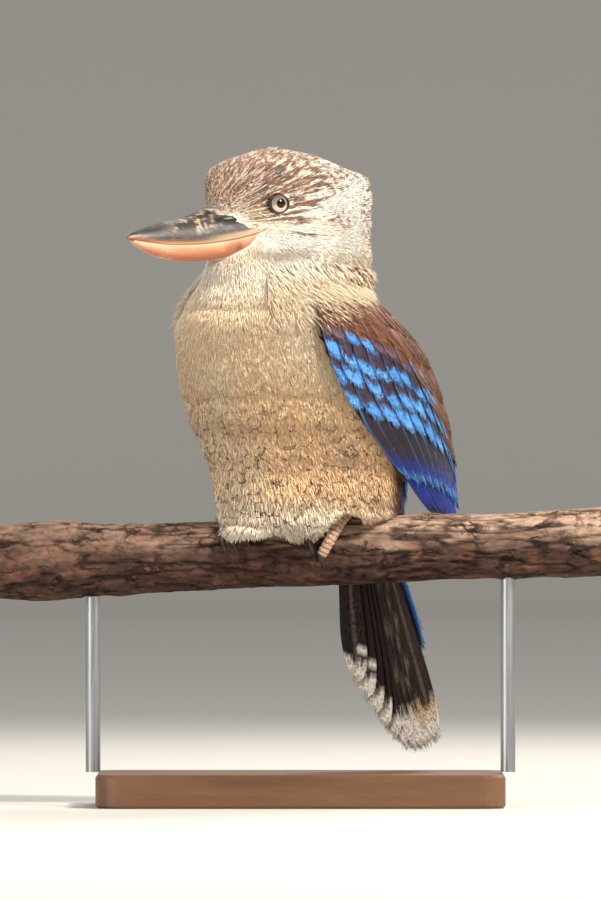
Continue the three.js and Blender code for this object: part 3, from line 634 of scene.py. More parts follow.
@dataclass
class Body:
    """The bird's form from crown to belly, as level sections shared with the solids."""

    up: Array = field(default_factory=lambda: np.array([
        355.3, 352, 347, 340, 332, 322, 310, 300, 291, 284, 273, 262, 246, 230, 214, 198, 181, 165, 155, 151,
        147.5, 143.5]))
    forward: Array = field(default_factory=lambda: np.array([
        20, 17, 17, 14.3, 13, 12.6, 10.8, 10.9, 11, 12.4, 15.2, 14.6, 9.3, 3.8, -0.7, -4.3, -5.4, -6.5, -6,
                                                             10.5,
        21, 26]))
    deep: Array = field(default_factory=lambda: np.array([
        9, 24.5, 38.7, 51.4, 54.9, 54, 50.6, 51.6, 52.6, 52.4, 53, 58.6, 64.6, 67.9, 67.2, 62.6, 56.3, 54.5,
                                                          53,
        38.5, 29, 22]))
    wide: Array = field(default_factory=lambda: np.array([
        6, 17, 26, 31.5, 34, 36, 37, 37, 37, 38, 45, 51, 56, 58.5, 58.5, 56, 51, 49, 48, 32, 25.5, 20]))
    narrow: Array = field(default_factory=lambda: np.array([
        0.1, 0.2, 0.3, 0.4, 0.45, 0.48, 0.48, 0.4, 0.25, 0.1, 0, 0, 0, 0, 0, 0, 0, 0, 0, 0, 0, 0]))
    # Soft swellings of the plumage: height, turn, half height, half turn and how far they stand out.
    swellings: tuple = ((303, 1.02, 5.6, 0.25, 7.4), (293.5, 1.0, 5.5, 0.5, -1.0),
                        (331.5, 1.0, 4.0, 0.34, 1.5),
                        (292.0, 0.0, 6.0, 0.5, 1.5))
    coat: float = 3.2
    hem_at: Array = field(default_factory=lambda: np.array([
        -45, -23.5, -13.8, -0.3, 8.4, 12, 19, 24, 31, 33.5, 43, 57.5]))
    hem: Array = field(default_factory=lambda: np.array([
        143, 144, 146.5, 142, 144, 149, 156, 157.6, 155.5, 152.5, 154.4, 157.6]))

    def skin(self, up: Array, turn: Array, grow: Array | float = 0.0) -> Array:
        """A point of the body: an ellipse across each level, narrowed towards the face.

        Args:
            up: height in mm.
            turn: 0 at the breast, a quarter turn at the left side, a half at the back.
            grow: outward offset in mm.

        Returns:
            World points.
        """
        read = lambda values: smooth(self.up, values, up)
        x, y = np.cos(turn), np.sin(turn)
        aside = np.abs(np.angle(np.exp(1j * turn)))
        for high, where, tall, broad, out in self.swellings:
            grow = grow + out * np.exp(-(((up - high) / tall) ** 2) - ((aside - where) / broad) ** 2)
        width = (read(self.wide) + grow) * y * (1 - read(self.narrow) * np.maximum(0, x))
        return world(read(self.forward) + (read(self.deep) + grow) * x, width, up)

    def normal(self, up: Array, turn: Array) -> Array:
        """Outward direction: the cross product of the slopes along height and turn."""
        e, d = 0.6, 0.01
        rise = self.skin(np.minimum(up + e, BODY_TOP), turn) - self.skin(np.maximum(up - e, BODY_FOOT), turn)
        turned_by = self.skin(up, turn + d) - self.skin(up, turn - d)
        return unit(np.cross(turned_by, rise))

    def bake_place(self, up: Array, turn: Array) -> Array:
        """The unwrap of the skin's shape: turn across and height along the map."""
        return np.stack([0.02 + 0.96 * ((turn / (2 * np.pi)) % 1.0), 0.02 + 0.96 * (up - 140) / 220], -1)

    def marks(self, points: Array) -> Array:
        """How strong the streaks and bars are at world points.

        Streaks are strongest over the forehead and crown, leave a pale brow behind the eye, and come
        again as a smudge before and under the eye, behind the gape, on the ear coverts and the nape.
        Bars cover the lower breast and belly and thin out above.

        Returns:
            Shape (n, 2): streaks, bars.
        """
        f, l, u = bird(points)
        aside = np.abs(l)
        blob = lambda cf, cu, rf, ru: np.exp(-(((f - cf) / rf) ** 2) - ((u - cu) / ru) ** 2)
        crown = step(316.5, 322, u - 0.42 * np.maximum(30 - f, 0)) * step(-40, -20, f)
        crown = crown * (1 - 0.6 * blob(58, 320, 9, 4)) * (0.4 + 0.6 * step(-4, 36, f))
        streak = crown
        for spot in ((46, 318, 8, 5, 0.75), (38, 316, 9, 3.0, 1.0), (31, 313.5, 7, 1.8, 0.75),
                     (8, 316, 17, 6, 0.3),
                     (-26, 322, 12, 16, 0.35)):
            streak = np.maximum(streak, spot[4] * blob(*spot[:4]) * step(8, 14, aside))
        gape = blob(31, 309.5, 9, 1.6) * step(12, 18, aside)
        nape = 0.4 * step(-10, -26, f) * step(300, 310, u)
        collar = 0.45 * step(282, 288, u) * step(300, 291, u) * step(14, -8, f)
        streak = np.maximum.reduce([streak, 0.9 * gape, nape, collar])
        bars = step(280, 205, u) * (0.6 + 0.4 * step(240, 200, u)) * step(146, 156, u) * step(-30, -12, f)
        bars = np.maximum(bars, 0.16 * step(292, 280, u) * step(240, 262, u) * step(-10, 10, f))
        return np.stack([streak * step(278, 284, u), bars], -1)

    def head_markings(self, points: Array) -> Array:
        """The head's ground colour: white, greyer on the crown, buff at the lores, white on the cheek, with a
        painted shadow under the cheek's swelling.
        """
        f, l, u = bird(points)
        head = mix(HUE.white, HUE.cream, 0.8 * step(0.35, 0.75, layers(points, 16, 9)))
        crown = step(318, 328, u - 0.42 * np.maximum(30 - f, 0)) * step(-38, -14, f)
        head = mix(head, HUE.grey_buff, 0.42 * crown)
        head = mix(head, HUE.grey_buff, 0.4 * np.exp(-(((f - 50) / 12) ** 2 + ((u - 317) / 5) ** 2)))
        ear = np.exp(-(((f - 6) / 12) ** 2 + ((u - 314) / 6) ** 2)) * step(10, 20, np.abs(l))
        head = mix(head, HUE.grey_buff, 0.45 * ear)
        cheek = np.exp(-(((f - 36) / 13) ** 2 + ((u - 302.5) / 6) ** 2))
        head = mix(head, HUE.white, np.clip(1.5 * cheek, 0, 1))
        # Painted shadow: a grey-brown arc under the cheek's swelling, darkening the white where the swelling
        # would shade it.
        under = np.exp(-(((f - 36) / 15) ** 2) - ((u - 295.6 - 0.012 * (f - 36) ** 2) / 1.9) ** 2)
        return mix(head, HUE.grey_buff * 0.7, 0.6 * under * step(12, 18, np.abs(l)))

    def markings(self, points: Array) -> Array:
        """The plumage's ground colours at world points, the same for skin and coat.

        Cream turns to buff down the breast and to orange buff on the left flank only, the side facing the
        warm key lamp, so that warmth is partly the flank's buff and partly painted light; the collar is warm,
        the back brown and the rump blue.
        """
        f, l, u = bird(points)
        broad = layers(points, 22, 9)
        body = mix(HUE.cream, HUE.buff, step(0.15, 0.6, broad) * step(285, 245, u))
        # Partly painted light: orange buff goes on the left flank only, the side facing the warm key lamp; it
        # stands for the flank's buff and for warm light on it.
        body = mix(body, HUE.orange_buff, 0.9 * step(4, 36, l) * step(238, 205, u) * step(150, 168, u))
        body = mix(body, HUE.white, 0.8 * step(272, 286, u) * step(30, 52, f))
        body = mix(body, HUE.white, 0.6 * step(166, 150, u) * step(0, 25, f))
        body = mix(body, HUE.grey_buff, 0.35 * step(0.5, 0.7, layers(points, (14, 14, 9), 49))
                   * step(240, 205, u))
        colour = mix(body, self.head_markings(points), step(278, 292, u))
        collar = np.exp(-(((u - 285) / 8) ** 2)) * step(34, 4, f)
        colour = mix(colour, HUE.orange_buff, 0.55 * collar)
        back = step(-22, -34, f) * step(277, 268, u)
        coat = mix(HUE.brown, HUE.pale_brown, 0.5 * step(0.5, 0.75, noise(points, 2.2, 5)))
        colour = mix(colour, coat, back)
        rump = step(186, 176, u) * step(-38, -50, f)
        return mix(colour, HUE.sky, rump)

    def flow(self, points: Array) -> Array:
        """The coat's lie: back over the head from the bill, and down the neck and body."""
        f, l, u = bird(points)
        base = world(*BILL_BASE)
        away = unit(points - base)
        down = turned(-0.22, 0, -1)
        side = turned(0, 1, 0)
        head = (step(290, 306, u) * step(-46, -22, f + 0.35 * (u - 320)))[..., None]
        flank = (0.16 * np.sign(l) * step(4, 30, np.abs(l)) * step(300, 270, u))[..., None]
        low = (step(312, 296, u))[..., None]
        return head * (away + 0.5 * low * down) + (1 - head) * (down + flank * side)


@dataclass
class Tufts:
    """A coat of thin pointed locks, each with two long faces, a flat underside and one tip."""

    rows: Array = field(default_factory=lambda: np.array([0.0, 0.5]))
    per_tuft: int = 7

    def build(self, name: str, root: Array, normal: Array, flow: Array, length: Array, width: Array,
              stand: Array, hug: Array | float, paint_root: Array, paint_tip: Array, place: Array,
              seed: int, marks: Array | None = None) -> bpy.types.Object:
        """Join many tufts into one mesh.

        Args:
            name: the piece's name.
            root, normal, flow: where each tuft starts, the skin's direction and the coat's lie there.
            length, width, stand: each tuft's length, width and rise of its tip, in mm.
            hug: how strongly tufts bend down to follow the body, as one over a radius in mm.
            paint_root, paint_tip: colours at both ends.
            place: each root's place on the bake map.
            seed: for the sideways bends.
            marks: strengths of streaks and bars at each root.

        Returns:
            The piece.
        """
        rng = np.random.default_rng(seed)
        count = len(root)
        along = unit(flow - np.einsum("ij,ij->i", flow, normal)[:, None] * normal)
        across = np.cross(normal, along)
        sway = rng.normal(0, 0.16, count)[:, None] * across
        along = unit(along + sway)
        across = np.cross(normal, along)
        curl = rng.normal(0, 0.07, count)

        def spot(s: float) -> Array:
            rise = -0.7 + (stand + 0.7) * s ** 0.7 - hug * (length * s) ** 2 / 2
            return (root + along * (length * s)[:, None] + normal * rise[:, None]
                    + across * (curl * length * s * s)[:, None])

        points = np.empty((count, self.per_tuft, 3))
        for k, s in enumerate(self.rows):
            middle = spot(s)
            half = (width * (0.75 if s == 0 else 0.5))[:, None]
            thick = (0.22 * width)[:, None]
            points[:, 3 * k] = middle - across * half
            points[:, 3 * k + 1] = middle + normal * thick
            points[:, 3 * k + 2] = middle + across * half
        points[:, 6] = spot(1.0)
        base = np.array([[0, 3, 4, 1], [1, 4, 5, 2], [2, 5, 3, 0], [3, 6, 4, 4], [4, 6, 5, 5], [5, 6, 3, 3]])
        faces = (np.arange(count)[:, None, None] * self.per_tuft + base).reshape(-1, 4)
        shade = np.array([0, 0, 0, 0.5, 0.5, 0.5, 1.0])
        paint = paint_root[:, None] * (1 - shade[:, None]) + paint_tip[:, None] * shade[:, None]
        spots = np.array([[0, 0], [0.5, 0], [1, 0], [0, 0.5], [0.5, 0.5], [1, 0.5], [0.5, 1]]) * PATCH
        uv = place[:, None] + spots
        spread_marks = None if marks is None else np.repeat(marks, self.per_tuft, 0)
        return add_piece(name, points.reshape(-1, 3), faces, paint.reshape(-1, 3), uv.reshape(-1, 2),
                         spread_marks)


@dataclass
class Coat:
    """Skin and small feathers of the head, neck, breast, flanks and rump."""

    body: Body
    tufts: Tufts = field(default_factory=Tufts)
    rows: int = 130
    cols: int = 150
    shared: float = 14.0

    def build_skin(self, finish: bpy.types.Material) -> None:
        """One skin under the whole coat: the body's form drawn in by the coat's depth."""
        up = np.linspace(BODY_TOP, BODY_FOOT, self.rows)[:, None]
        turn = np.linspace(0, 2 * np.pi, self.cols, endpoint=False)[None, :]
        up, turn = np.broadcast_arrays(up, turn)
        rings = self.body.skin(up, turn, -self.body.coat)
        rings[..., 2] = np.where(up > 349, rings[..., 2] - 2.0, rings[..., 2])
        rings[..., 2] = np.maximum(rings[..., 2], smooth(self.body.hem_at, self.body.hem, rings[..., 0])
                                   + 2.5)
        rings = clear_of_branch(rings, 1.0)
        points, faces = closed_tube(rings)
        uv = np.concatenate([self.body.bake_place(up, turn).reshape(-1, 2), [[0.5, 0.99], [0.5, 0.01]]])
        skin = add_piece("body_skin", points, faces, self.body.markings(points), uv, self.body.marks(points))
        dress(skin, finish, "breast_plumage", "head", "neck", "torso", "back", "leg_left", "leg_right")
        log.info("body skin with %d faces", len(faces))

    def roots(self, low: float, high: float, count: int, seed: int) -> tuple[Array, Array]:
        """Spread roots evenly by area over a band of the body.

        Args:
            low, high: the band's heights in mm.
            count: how many roots.
            seed: for the draw.

        Returns:
            Height and turn of each root.
        """
        rng = np.random.default_rng(seed)
        up = rng.uniform(low, high, count * 6)
        turn = rng.uniform(0, 2 * np.pi, count * 6)
        e = 0.4
        over = np.clip(up + e, BODY_FOOT, BODY_TOP)
        below = np.clip(up - e, BODY_FOOT, BODY_TOP)
        a = self.body.skin(over, turn) - self.body.skin(below, turn)
        b = self.body.skin(up, turn + 0.01) - self.body.skin(up, turn - 0.01)
        area = np.linalg.norm(np.cross(a, b), axis=-1)
        chosen = rng.choice(len(up), count, replace=False, p=area / area.sum())
        return up[chosen], turn[chosen]

    def build_band(self, name: str, low: float, high: float, count: int, length: tuple[float, float],
                   width: float, stand: tuple[float, float], finish: bpy.types.Material, slot: str,
                   seed: int, aside: float = 0.0, over: float = 0.0) -> None:
        """Lay the tufts of one band, leaving out what the bill, eyes and wings cover.

        Each band fades out into its neighbours over the heights that they share, so no edge shows.

        Args:
            name: the piece's name.
            low, high: the band's heights in mm, each with its half of the shared stretch.
            count: how many tufts at most.
            length, width, stand: ranges of the tufts' sizes in mm.
            finish, slot: the material; slot is not used.
            seed: for the draws.
            aside: the least turn from the breast.
            over: how much further the tufts stand out over the wings' top edges, in mm.
        """
        rng = np.random.default_rng(seed)
        up, turn = self.roots(low, high, count * 3, seed)
        shown = np.ones(len(up))
        if high < CROWN_TOP:
            shown = shown * np.clip((high - up) / self.shared, 0, 1)
        if low > HEM_FOOT:
            shown = shown * np.clip((up - low) / self.shared, 0, 1)
        root = self.body.skin(up, turn, -self.body.coat)
        normal = self.body.normal(up, turn)
        keep = open_skin(root) & (np.abs(np.angle(np.exp(1j * turn))) > aside)
        hem = smooth(self.body.hem_at, self.body.hem, root[:, 0])
        keep &= (up > hem + 2.5) & (rng.uniform(size=len(up)) < shown)
        keep &= np.cumsum(keep) <= count
        up, turn, root, normal, hem = up[keep], turn[keep], root[keep], normal[keep], hem[keep]
        size = len(up)
        f, l, u = bird(root)
        small = 1 - 0.5 * step(18, 50, f) * step(286, 300, u)
        shag = step(-14, -32, f) * step(292, 304, u) * step(352, 338, u)
        long = rng.uniform(*length, size) * small * (1 + 0.35 * shag)
        long = np.minimum(long, np.maximum(up - hem, 3) * rng.uniform(0.9, 1.15, size))
        root[:, 2] -= 2.2 * step(338, 352, up)
        rise = rng.uniform(*stand, size) * (0.5 + 0.5 * small) + shag * rng.uniform(0, 4.5, size)
        rise += over * np.exp(-(((np.abs(np.angle(np.exp(1j * turn))) - 1.5) / 0.6) ** 2))
        flow = self.body.flow(root)
        tip = root + unit(flow) * long[:, None]
        lit = 1 + rng.normal(0, 0.07, size)[:, None]
        paint_root = self.body.markings(root) * 0.8
        paint_tip = self.body.markings(tip) * lit
        piece = self.tufts.build(name, root, normal, flow, long, width * rng.uniform(0.7, 1.3, size) * small,
                                 rise + self.body.coat * 0.55, 0.017 + 0.02 * step(290, 325, u), paint_root,
                                 paint_tip, self.body.bake_place(up, turn), seed + 1, self.body.marks(root))
        trim_to_branch(piece)
        dress(piece, finish, slot)
        log.info("%s with %d tufts", name, size)

    def build_lores(self, finish: bpy.types.Material) -> None:
        """Short feathers that run over the base of the upper bill down to the nostrils."""
        rng = np.random.default_rng(19)
        count = 9000
        f = rng.uniform(40, 71, count)
        a = rng.uniform(0.02, np.pi - 0.02, count)
        half, foot, top = Head.upper_sizes(f)
        left = half * np.cos(a)
        up = foot + (top - foot) * np.sin(a) ** Head.upper_power
        keep = up > smooth(Head.feather_at, Head.feather_edge, f) + rng.normal(0, 0.25, count)
        nf, nu, long, high = Head.nostril
        keep &= ((f - nf - 1.5) / (long + 2.2)) ** 2 + ((up - nu) / (high + 1.3)) ** 2 > 1
        f, left, up = f[keep], left[keep], up[keep]
        normal = unit(turned(-0.25, 0, 0) + world(0 * f, left / 12, (up - 311) / 9) - world(0, 0, 0))
        root = world(f, left, up) + 0.5 * normal
        size = len(f)
        flow = self.body.flow(root) + 0.3 * normal
        turn = np.arctan2(left / 30, (f - 11) / 50)
        tip = root + unit(flow) * 4
        piece = self.tufts.build("coat_lores", root, normal, flow, rng.uniform(3.2, 5.6, size),
                                 0.5 * rng.uniform(0.7, 1.3, size), rng.uniform(0.9, 1.6, size), 0.01,
                                 self.body.markings(root) * 0.85, self.body.markings(tip),
                                 self.body.bake_place(up, turn), 20, self.body.marks(root))
        dress(piece, finish, "head_plumage")
        log.info("coat_lores with %d tufts", size)

    def build(self, finish: bpy.types.Material) -> None:
        """Skin first, then the bands of the coat from the crown down."""
        self.build_skin(finish)
        head, breast = "head_plumage", "breast_plumage"
        self.build_band("coat_crown", 317, 355, 19000, (7, 11), 0.6, (0.2, 1.4), finish, head, 11)
        self.build_band("coat_face", 285, 331, 19500, (6, 9), 0.62, (0.1, 1.0), finish, head, 12)
        self.build_band("coat_neck", 256, 299, 19000, (9, 13), 0.7, (0.3, 1.8), finish, head, 13)
        self.build_band("coat_collar", 263, 296, 9500, (11, 17), 0.72, (3.2, 7.6), finish, head, 17, 0.8, 3.0)
        self.build_band("coat_breast", 217, 270, 19000, (10, 15), 0.74, (0.2, 1.8), finish, breast, 14)
        self.build_band("coat_belly", 177, 231, 19500, (10, 15), 0.74, (0.2, 2.0), finish, breast, 15)
        self.build_band("coat_flank", 144, 191, 16500, (10, 15), 0.76, (0.3, 2.4), finish, breast, 16)
        self.build_lores(finish)


@dataclass
class Wing:
    """A folded wing: tiers of vanes on one curved surface, shared with the solids."""

    side: int
    at: Array = field(default_factory=lambda: np.array([0, 0.25, 0.5, 0.7, 0.85, 1]))
    front_rows = np.array([
        [33, 45, 269], [30, 56, 240], [14, 59, 212], [-14, 53, 188], [-42, 42, 168], [-72, 32, 147]], float)
    back_rows = np.array([
        [-23, 28, 271], [-50, 37, 242], [-65, 37, 214], [-74, 35.5, 192], [-81.5, 33, 174], [-90, 29, 147]],
                         float)
    bow: Array = field(default_factory=lambda: np.array([8, 13, 13, 9.5, 5.5, 2]))
    outside: Array = field(default_factory=lambda: np.array([-0.25, 0.97, 0]))

    @property
    def name(self) -> str:
        """left or right."""
        return "left" if self.side > 0 else "right"

    def surface(self, along: Array, across: Array) -> Array:
        """Front and back edges blended across, bowed outwards by the sine of the way across."""
        read = lambda rows: np.stack([smooth(self.at, rows[:, i], along) for i in range(3)], -1)
        w = np.asarray(across)[..., None]
        bow = smooth(self.at, self.bow, along) * np.sin(np.pi * np.clip(across, 0, 1))
        return read(self.front_rows) * (1 - w) + read(self.back_rows) * w + bow[..., None] * self.outside

    def place(self, along: Array, across: Array, height: Array) -> Array:
        """A world point at a height over the wing's surface."""
        e = 0.02
        a = self.surface(np.minimum(along + e, 1), across) - self.surface(np.maximum(along - e, 0), across)
        b = self.surface(along, np.minimum(across + e, 1)) - self.surface(along, np.maximum(across - e, 0))
        n = unit(np.cross(a, b))
        n = n * np.sign(n @ self.outside)[..., None]
        beyond = np.maximum(along - 1, 0)[..., None] * np.array([-60.0, -10.0, -110.0])
        p = self.surface(along, across) + n * np.asarray(height)[..., None] + beyond
        return world(p[..., 0], self.side * p[..., 1], p[..., 2])


def clear_of_branch(points: Array, gap: float) -> Array:
    """Push points that lie inside the branch out to its surface plus a gap."""
    y, z = points[..., 1], points[..., 2] - Branch.up_at(points[..., 0])
    r = np.hypot(y, z)
    need = Branch.radius_at(points[..., 0]) + gap
    grow = np.where(r < need, need / np.maximum(r, 1e-3), 1.0)
    out = points.copy()
    out[..., 1] = y * grow
    out[..., 2] = z * grow + Branch.up_at(points[..., 0])
    return out


def trim_to_branch(piece: bpy.types.Object) -> None:
    """Lay a coat piece's points that enter the branch on the branch's surface."""
    mesh = piece.data
    co = np.empty(len(mesh.vertices) * 3, np.float32)
    mesh.vertices.foreach_get("co", co)
    points = co.reshape(-1, 3) / MM
    mesh.vertices.foreach_set("co", (clear_of_branch(points, 0.9) * MM).astype(np.float32).ravel())
    mesh.update()


def open_skin(root: Array) -> Array:
    """Where feathers grow: not under the bill, in the eyes, or deep inside the perch."""
    f, l, u = bird(root)
    ok = np.ones(len(root), bool)
    for side in (1, -1):
        away = np.hypot(np.hypot(f - Head.eye[0] - 1, (l - side * Head.eye[1]) * 0.6), u - Head.eye[2])
        ok &= away > Head.lid_out + 0.3
    ok &= ~(Head.inside_bill(f, l, u) & (u < smooth(Head.feather_at, Head.feather_edge, f) + 0.5))
    edge = smooth(Wing.front_rows[::-1, 2], Wing.front_rows[::-1, 0], u)
    ok &= ~((f < edge - 14) & (u > 184) & (u < 262))
    r = np.hypot(root[:, 1], u - Branch.up_at(root[:, 0]))
    return ok & (r > Branch.radius_at(root[:, 0]) - 5)


@dataclass(frozen=True)
class VaneTier:
    """One tier of feathers: how many, where they end and how they lie."""

    name: str
    count: int
    tips: tuple[float, float]
    across: tuple[float, float]
    long: float
    half: float
    lift: float
    rest: float
    paint: str
    barbs: int = 0
    tilt: float = 0.6
    stray: float = 0.012


@dataclass
class Vanes:
    """Feather vanes as thin closed sheets with a raised shaft, joined into one piece."""

    rows: int = 15
    cols: int = 9
    thick: float = 0.28
    points: list[Array] = field(default_factory=list)
    faces: list[Array] = field(default_factory=list)
    paints: list[Array] = field(default_factory=list)
    places: list[Array] = field(default_factory=list)
    barb_rows: list[dict] = field(default_factory=list)
    size: int = 0

    def outline(self, s: Array) -> Array:
        """Half width along a vane: narrow at its root, full past the middle, rounded at its tip."""
        body = 0.5 + 0.5 * step(0, 0.5, s)
        tip = np.sqrt(np.clip(1 - (np.clip(s - 0.72, 0, 1) / 0.2801) ** 2, 0, 1))
        return body * np.maximum(tip, 0.04)

    def add(self, place: Callable[[Array, Array, Array], Array], tier: VaneTier, root: float, tip: float,
            middle: float, colour: Callable[[Array, Array, float], Array], rng: np.random.Generator,
            order: int) -> None:
        """Add one vane.

        Args:
            place: the surface that the vane lies on.
            tier: the vane's tier.
            root, tip, middle: its ends along the surface and its middle across it.
            colour: gives the colour from the way along, the way across and a draw.
            rng: the draws.
            order: the vane's number, for its patch on the bake map.
        """
        s = np.linspace(0, 1, self.rows)[:, None]
        q = np.linspace(-1, 1, self.cols)[None, :]
        s, q = np.broadcast_arrays(s, q)
        along = root + (tip - root) * s
        bend = rng.normal(0, 0.004)
        half_width = tier.half * rng.uniform(0.88, 1.15)
        across = middle + q * half_width * self.outline(s) + bend * s * s
        rise = -1.2 + (tier.lift + 1.2) * step(0, 0.3, s) + (tier.rest - tier.lift) * s
        crown = 0.5 * (1 - q * q) * step(0, 0.2, s)
        shaft = 0.3 * np.exp(-(q / 0.09) ** 2) * (1 - 0.6 * s)
        ripple = 0.14 * noise(np.stack([s * 6, q * 3, s * 0 + order], -1), 1.0, order)
        height = rise - tier.tilt * q + crown + ripple
        top = place(along, across, height + shaft)
        under = place(along, across, height - self.thick)
        points = np.concatenate([top.reshape(-1, 3), under.reshape(-1, 3)])
        half = self.rows * self.cols
        face = grid_faces(self.rows, self.cols)
        edge = np.concatenate([np.arange(self.cols), np.arange(1, self.rows) * self.cols + self.cols - 1,
                               half - 2 - np.arange(self.cols - 1), np.arange(self.rows - 2, 0, -1)
                               * self.cols])
        after = np.roll(edge, -1)
        rim = np.stack([after, edge, edge + half, after + half], 1)
        faces = outward(points, np.concatenate([face, face[:, ::-1] + half, rim]))
        tone = float(rng.uniform(0, 1))
        paint = colour(s, q, tone)
        self.points.append(points)
        self.faces.append(faces + self.size)
        self.size += len(points)
        self.paints.append(np.concatenate([paint.reshape(-1, 3)] * 2))
        spot = np.stack([(q + 1) / 2, s], -1).reshape(-1, 2) * VANE_PATCH * 0.9
        corner = np.array([order % VANES_IN_ROW, order // VANES_IN_ROW]) * VANE_PATCH + 0.005
        self.places.append(np.concatenate([spot + corner] * 2))
        if tier.barbs:
            self.add_barbs(place, tier, along, across, height, paint, rng, corner)

    def add_barbs(self, place: Callable[[Array, Array, Array], Array], tier: VaneTier, along: Array,
                  across: Array, height: Array, paint: Array, rng: np.random.Generator,
                  corner: Array) -> None:
        """Scatter fine barbs over the outer part of a vane, splayed from its shaft to its rim."""
        count = tier.barbs
        r = (self.rows - 1) * np.sqrt(rng.uniform(0.16, 0.98, count))
        c = (self.cols - 1) * rng.uniform(0.04, 0.96, count)
        i, j = r.astype(int), c.astype(int)
        fr, fc = r - i, c - j

        def read(values: Array) -> Array:
            f1, f2 = (fr[:, None], fc[:, None]) if values.ndim == 3 else (fr, fc)
            return ((values[i, j] * (1 - f2) + values[i, j + 1] * f2) * (1 - f1)
                    + (values[i + 1, j] * (1 - f2) + values[i + 1, j + 1] * f2) * f1)

        a, w, h = read(along), read(across), read(height)
        q = 2 * c / (self.cols - 1) - 1
        root = place(a, w, h + 0.05)
        ahead = place(a + 0.01, w + 0.006 * q, h + 0.05)
        over = unit(place(a, w, h + 1.0) - root)
        self.barb_rows.append({
            "root": root, "normal": over, "flow": unit(ahead - root),
            "paint": read(paint) * rng.uniform(0.82, 1.22, count)[:, None],
            "place": corner + np.stack([(q + 1) / 2, r / (self.rows - 1)], -1) * VANE_PATCH * 0.9})

    def finish(self, name: str) -> bpy.types.Object:
        """Join the vanes into one object."""
        return add_piece(name, np.concatenate(self.points), np.concatenate(self.faces),
                         np.concatenate(self.paints), np.concatenate(self.places))

    def finish_barbs(self, name: str, length: tuple[float, float], width: float,
                     seed: int, share: float = 1.0) -> bpy.types.Object:
        """Join the barbs, or a share of them, into one object."""
        rng = np.random.default_rng(seed)
        read = lambda key: np.concatenate([row[key][:int(share * len(row[key]))] for row in self.barb_rows])
        paint = read("paint")
        size = len(paint)
        return Tufts().build(name, read("root"), read("normal"), read("flow"), rng.uniform(*length, size),
                             np.full(size, width), rng.uniform(0.15, 0.5, size), 0.006, paint * 0.85,
                             np.clip(paint * 1.12, 0, 1), read("place"), seed)


def paint_blue_covert(s: Array, q: Array, tone: float) -> Array:
    """Sky-blue at the tip and edges over a dark purple-brown base that shows between feathers."""
    blue = mix(HUE.sky * (0.78 + 0.3 * tone), HUE.pale_sky, 0.55 * step(0.8, 1, s) * tone)
    base = mix(HUE.dark, HUE.purple, np.full(s.shape, 0.3 + 0.7 * ((tone * 7) % 1)))
    start = 0.6 + 0.2 * ((tone * 3.7) % 1)
    tip = step(start, start + 0.09, s + 0.05 * np.cos(q * 5 + tone * 6) + 0.06 * q * q)
    return mix(base, blue, np.clip(tip + 0.35 * step(0.7, 0.95, np.abs(q)) * step(0.45, 0.6, s), 0, 1))


def paint_small_covert(s: Array, q: Array, tone: float) -> Array:
    """Brown small coverts, some of them tipped with blue."""
    brown = mix(HUE.brown, HUE.pale_brown, 0.5 * tone * step(0.3, 0.9, np.abs(q)))
    blue = HUE.sky * (0.7 + 0.35 * tone)
    return mix(brown, blue, step(0.62, 0.8, s) * (0.95 if tone > 0.4 else 0.15))


def paint_secondary(s: Array, q: Array, tone: float) -> Array:
    """Dark vane with a thin pale-blue outer edge, turning royal and sky blue at its tip."""
    dark = mix(HUE.dark * 0.7, HUE.purple, np.full(s.shape, 0.1 + 0.2 * tone))
    vane = mix(dark, HUE.royal, 0.9 * step(0.66, 0.88, s))
    vane = mix(vane, HUE.sky, step(0.88, 0.98, s + 0.03 * np.cos(q * 7)))
    return mix(vane, HUE.sky, 0.55 * step(-0.86, -0.96, q))


def paint_primary(s: Array, q: Array, tone: float) -> Array:
    """Royal-blue outer web, black inner web and tip."""
    blue = HUE.royal * (0.85 + 0.5 * tone)
    outer = mix(blue, HUE.sky, 0.25 * step(-0.7, -0.95, q))
    return mix(outer, HUE.dark, np.clip(step(0.15, 0.5, q) + step(0.86, 0.97, s), 0, 1))


def paint_back(s: Array, q: Array, tone: float) -> Array:
    """Warm brown with paler, frayed edges."""
    mottle = 0.5 + 0.5 * np.sin(s * 21 + tone * 9) * np.cos(q * 6 + tone * 5)
    base = mix(HUE.brown * (0.6 + 0.5 * tone), HUE.rust * 0.8, 0.6 * mottle * step(0.2, 0.7, tone + 0 * s))
    rim = np.clip(step(0.65, 0.98, np.abs(q)) * 0.45 + step(0.9, 1, s) * 0.6, 0, 0.7)
    return mix(base, HUE.pale_brown, rim)


def paint_rump(s: Array, q: Array, tone: float) -> Array:
    """Bright sky-blue over a grey-brown base."""
    return mix(HUE.purple, HUE.sky * (0.85 + 0.3 * tone), step(0.25, 0.5, s))


def paint_upper_tail(s: Array, q: Array, tone: float) -> Array:
    """Violet blue that turns sky-blue at its root, with fine pale lines."""
    blue = mix(HUE.sky, HUE.royal, 0.75 * step(0.3, 0.75, s))
    return mix(blue, HUE.pale_sky, 0.5 * step(0.75, 0.95, np.abs(q)) + 0.2 * (np.abs(np.sin(q * 14)) > 0.8))


def paint_vent(s: Array, q: Array, tone: float) -> Array:
    """Buff undertail coverts with a brown middle."""
    return mix(HUE.buff * 0.8, HUE.brown, 0.5 * step(0.5, 0.1, np.abs(q)) * step(0.3, 0.8, s))


PAINTS: dict[str, Callable[[Array, Array, float], Array]] = {
    "upper": paint_upper_tail, "vent": paint_vent,
    "covert": paint_blue_covert, "small": paint_small_covert, "secondary": paint_secondary,
    "primary": paint_primary, "back": paint_back, "rump": paint_rump,
}

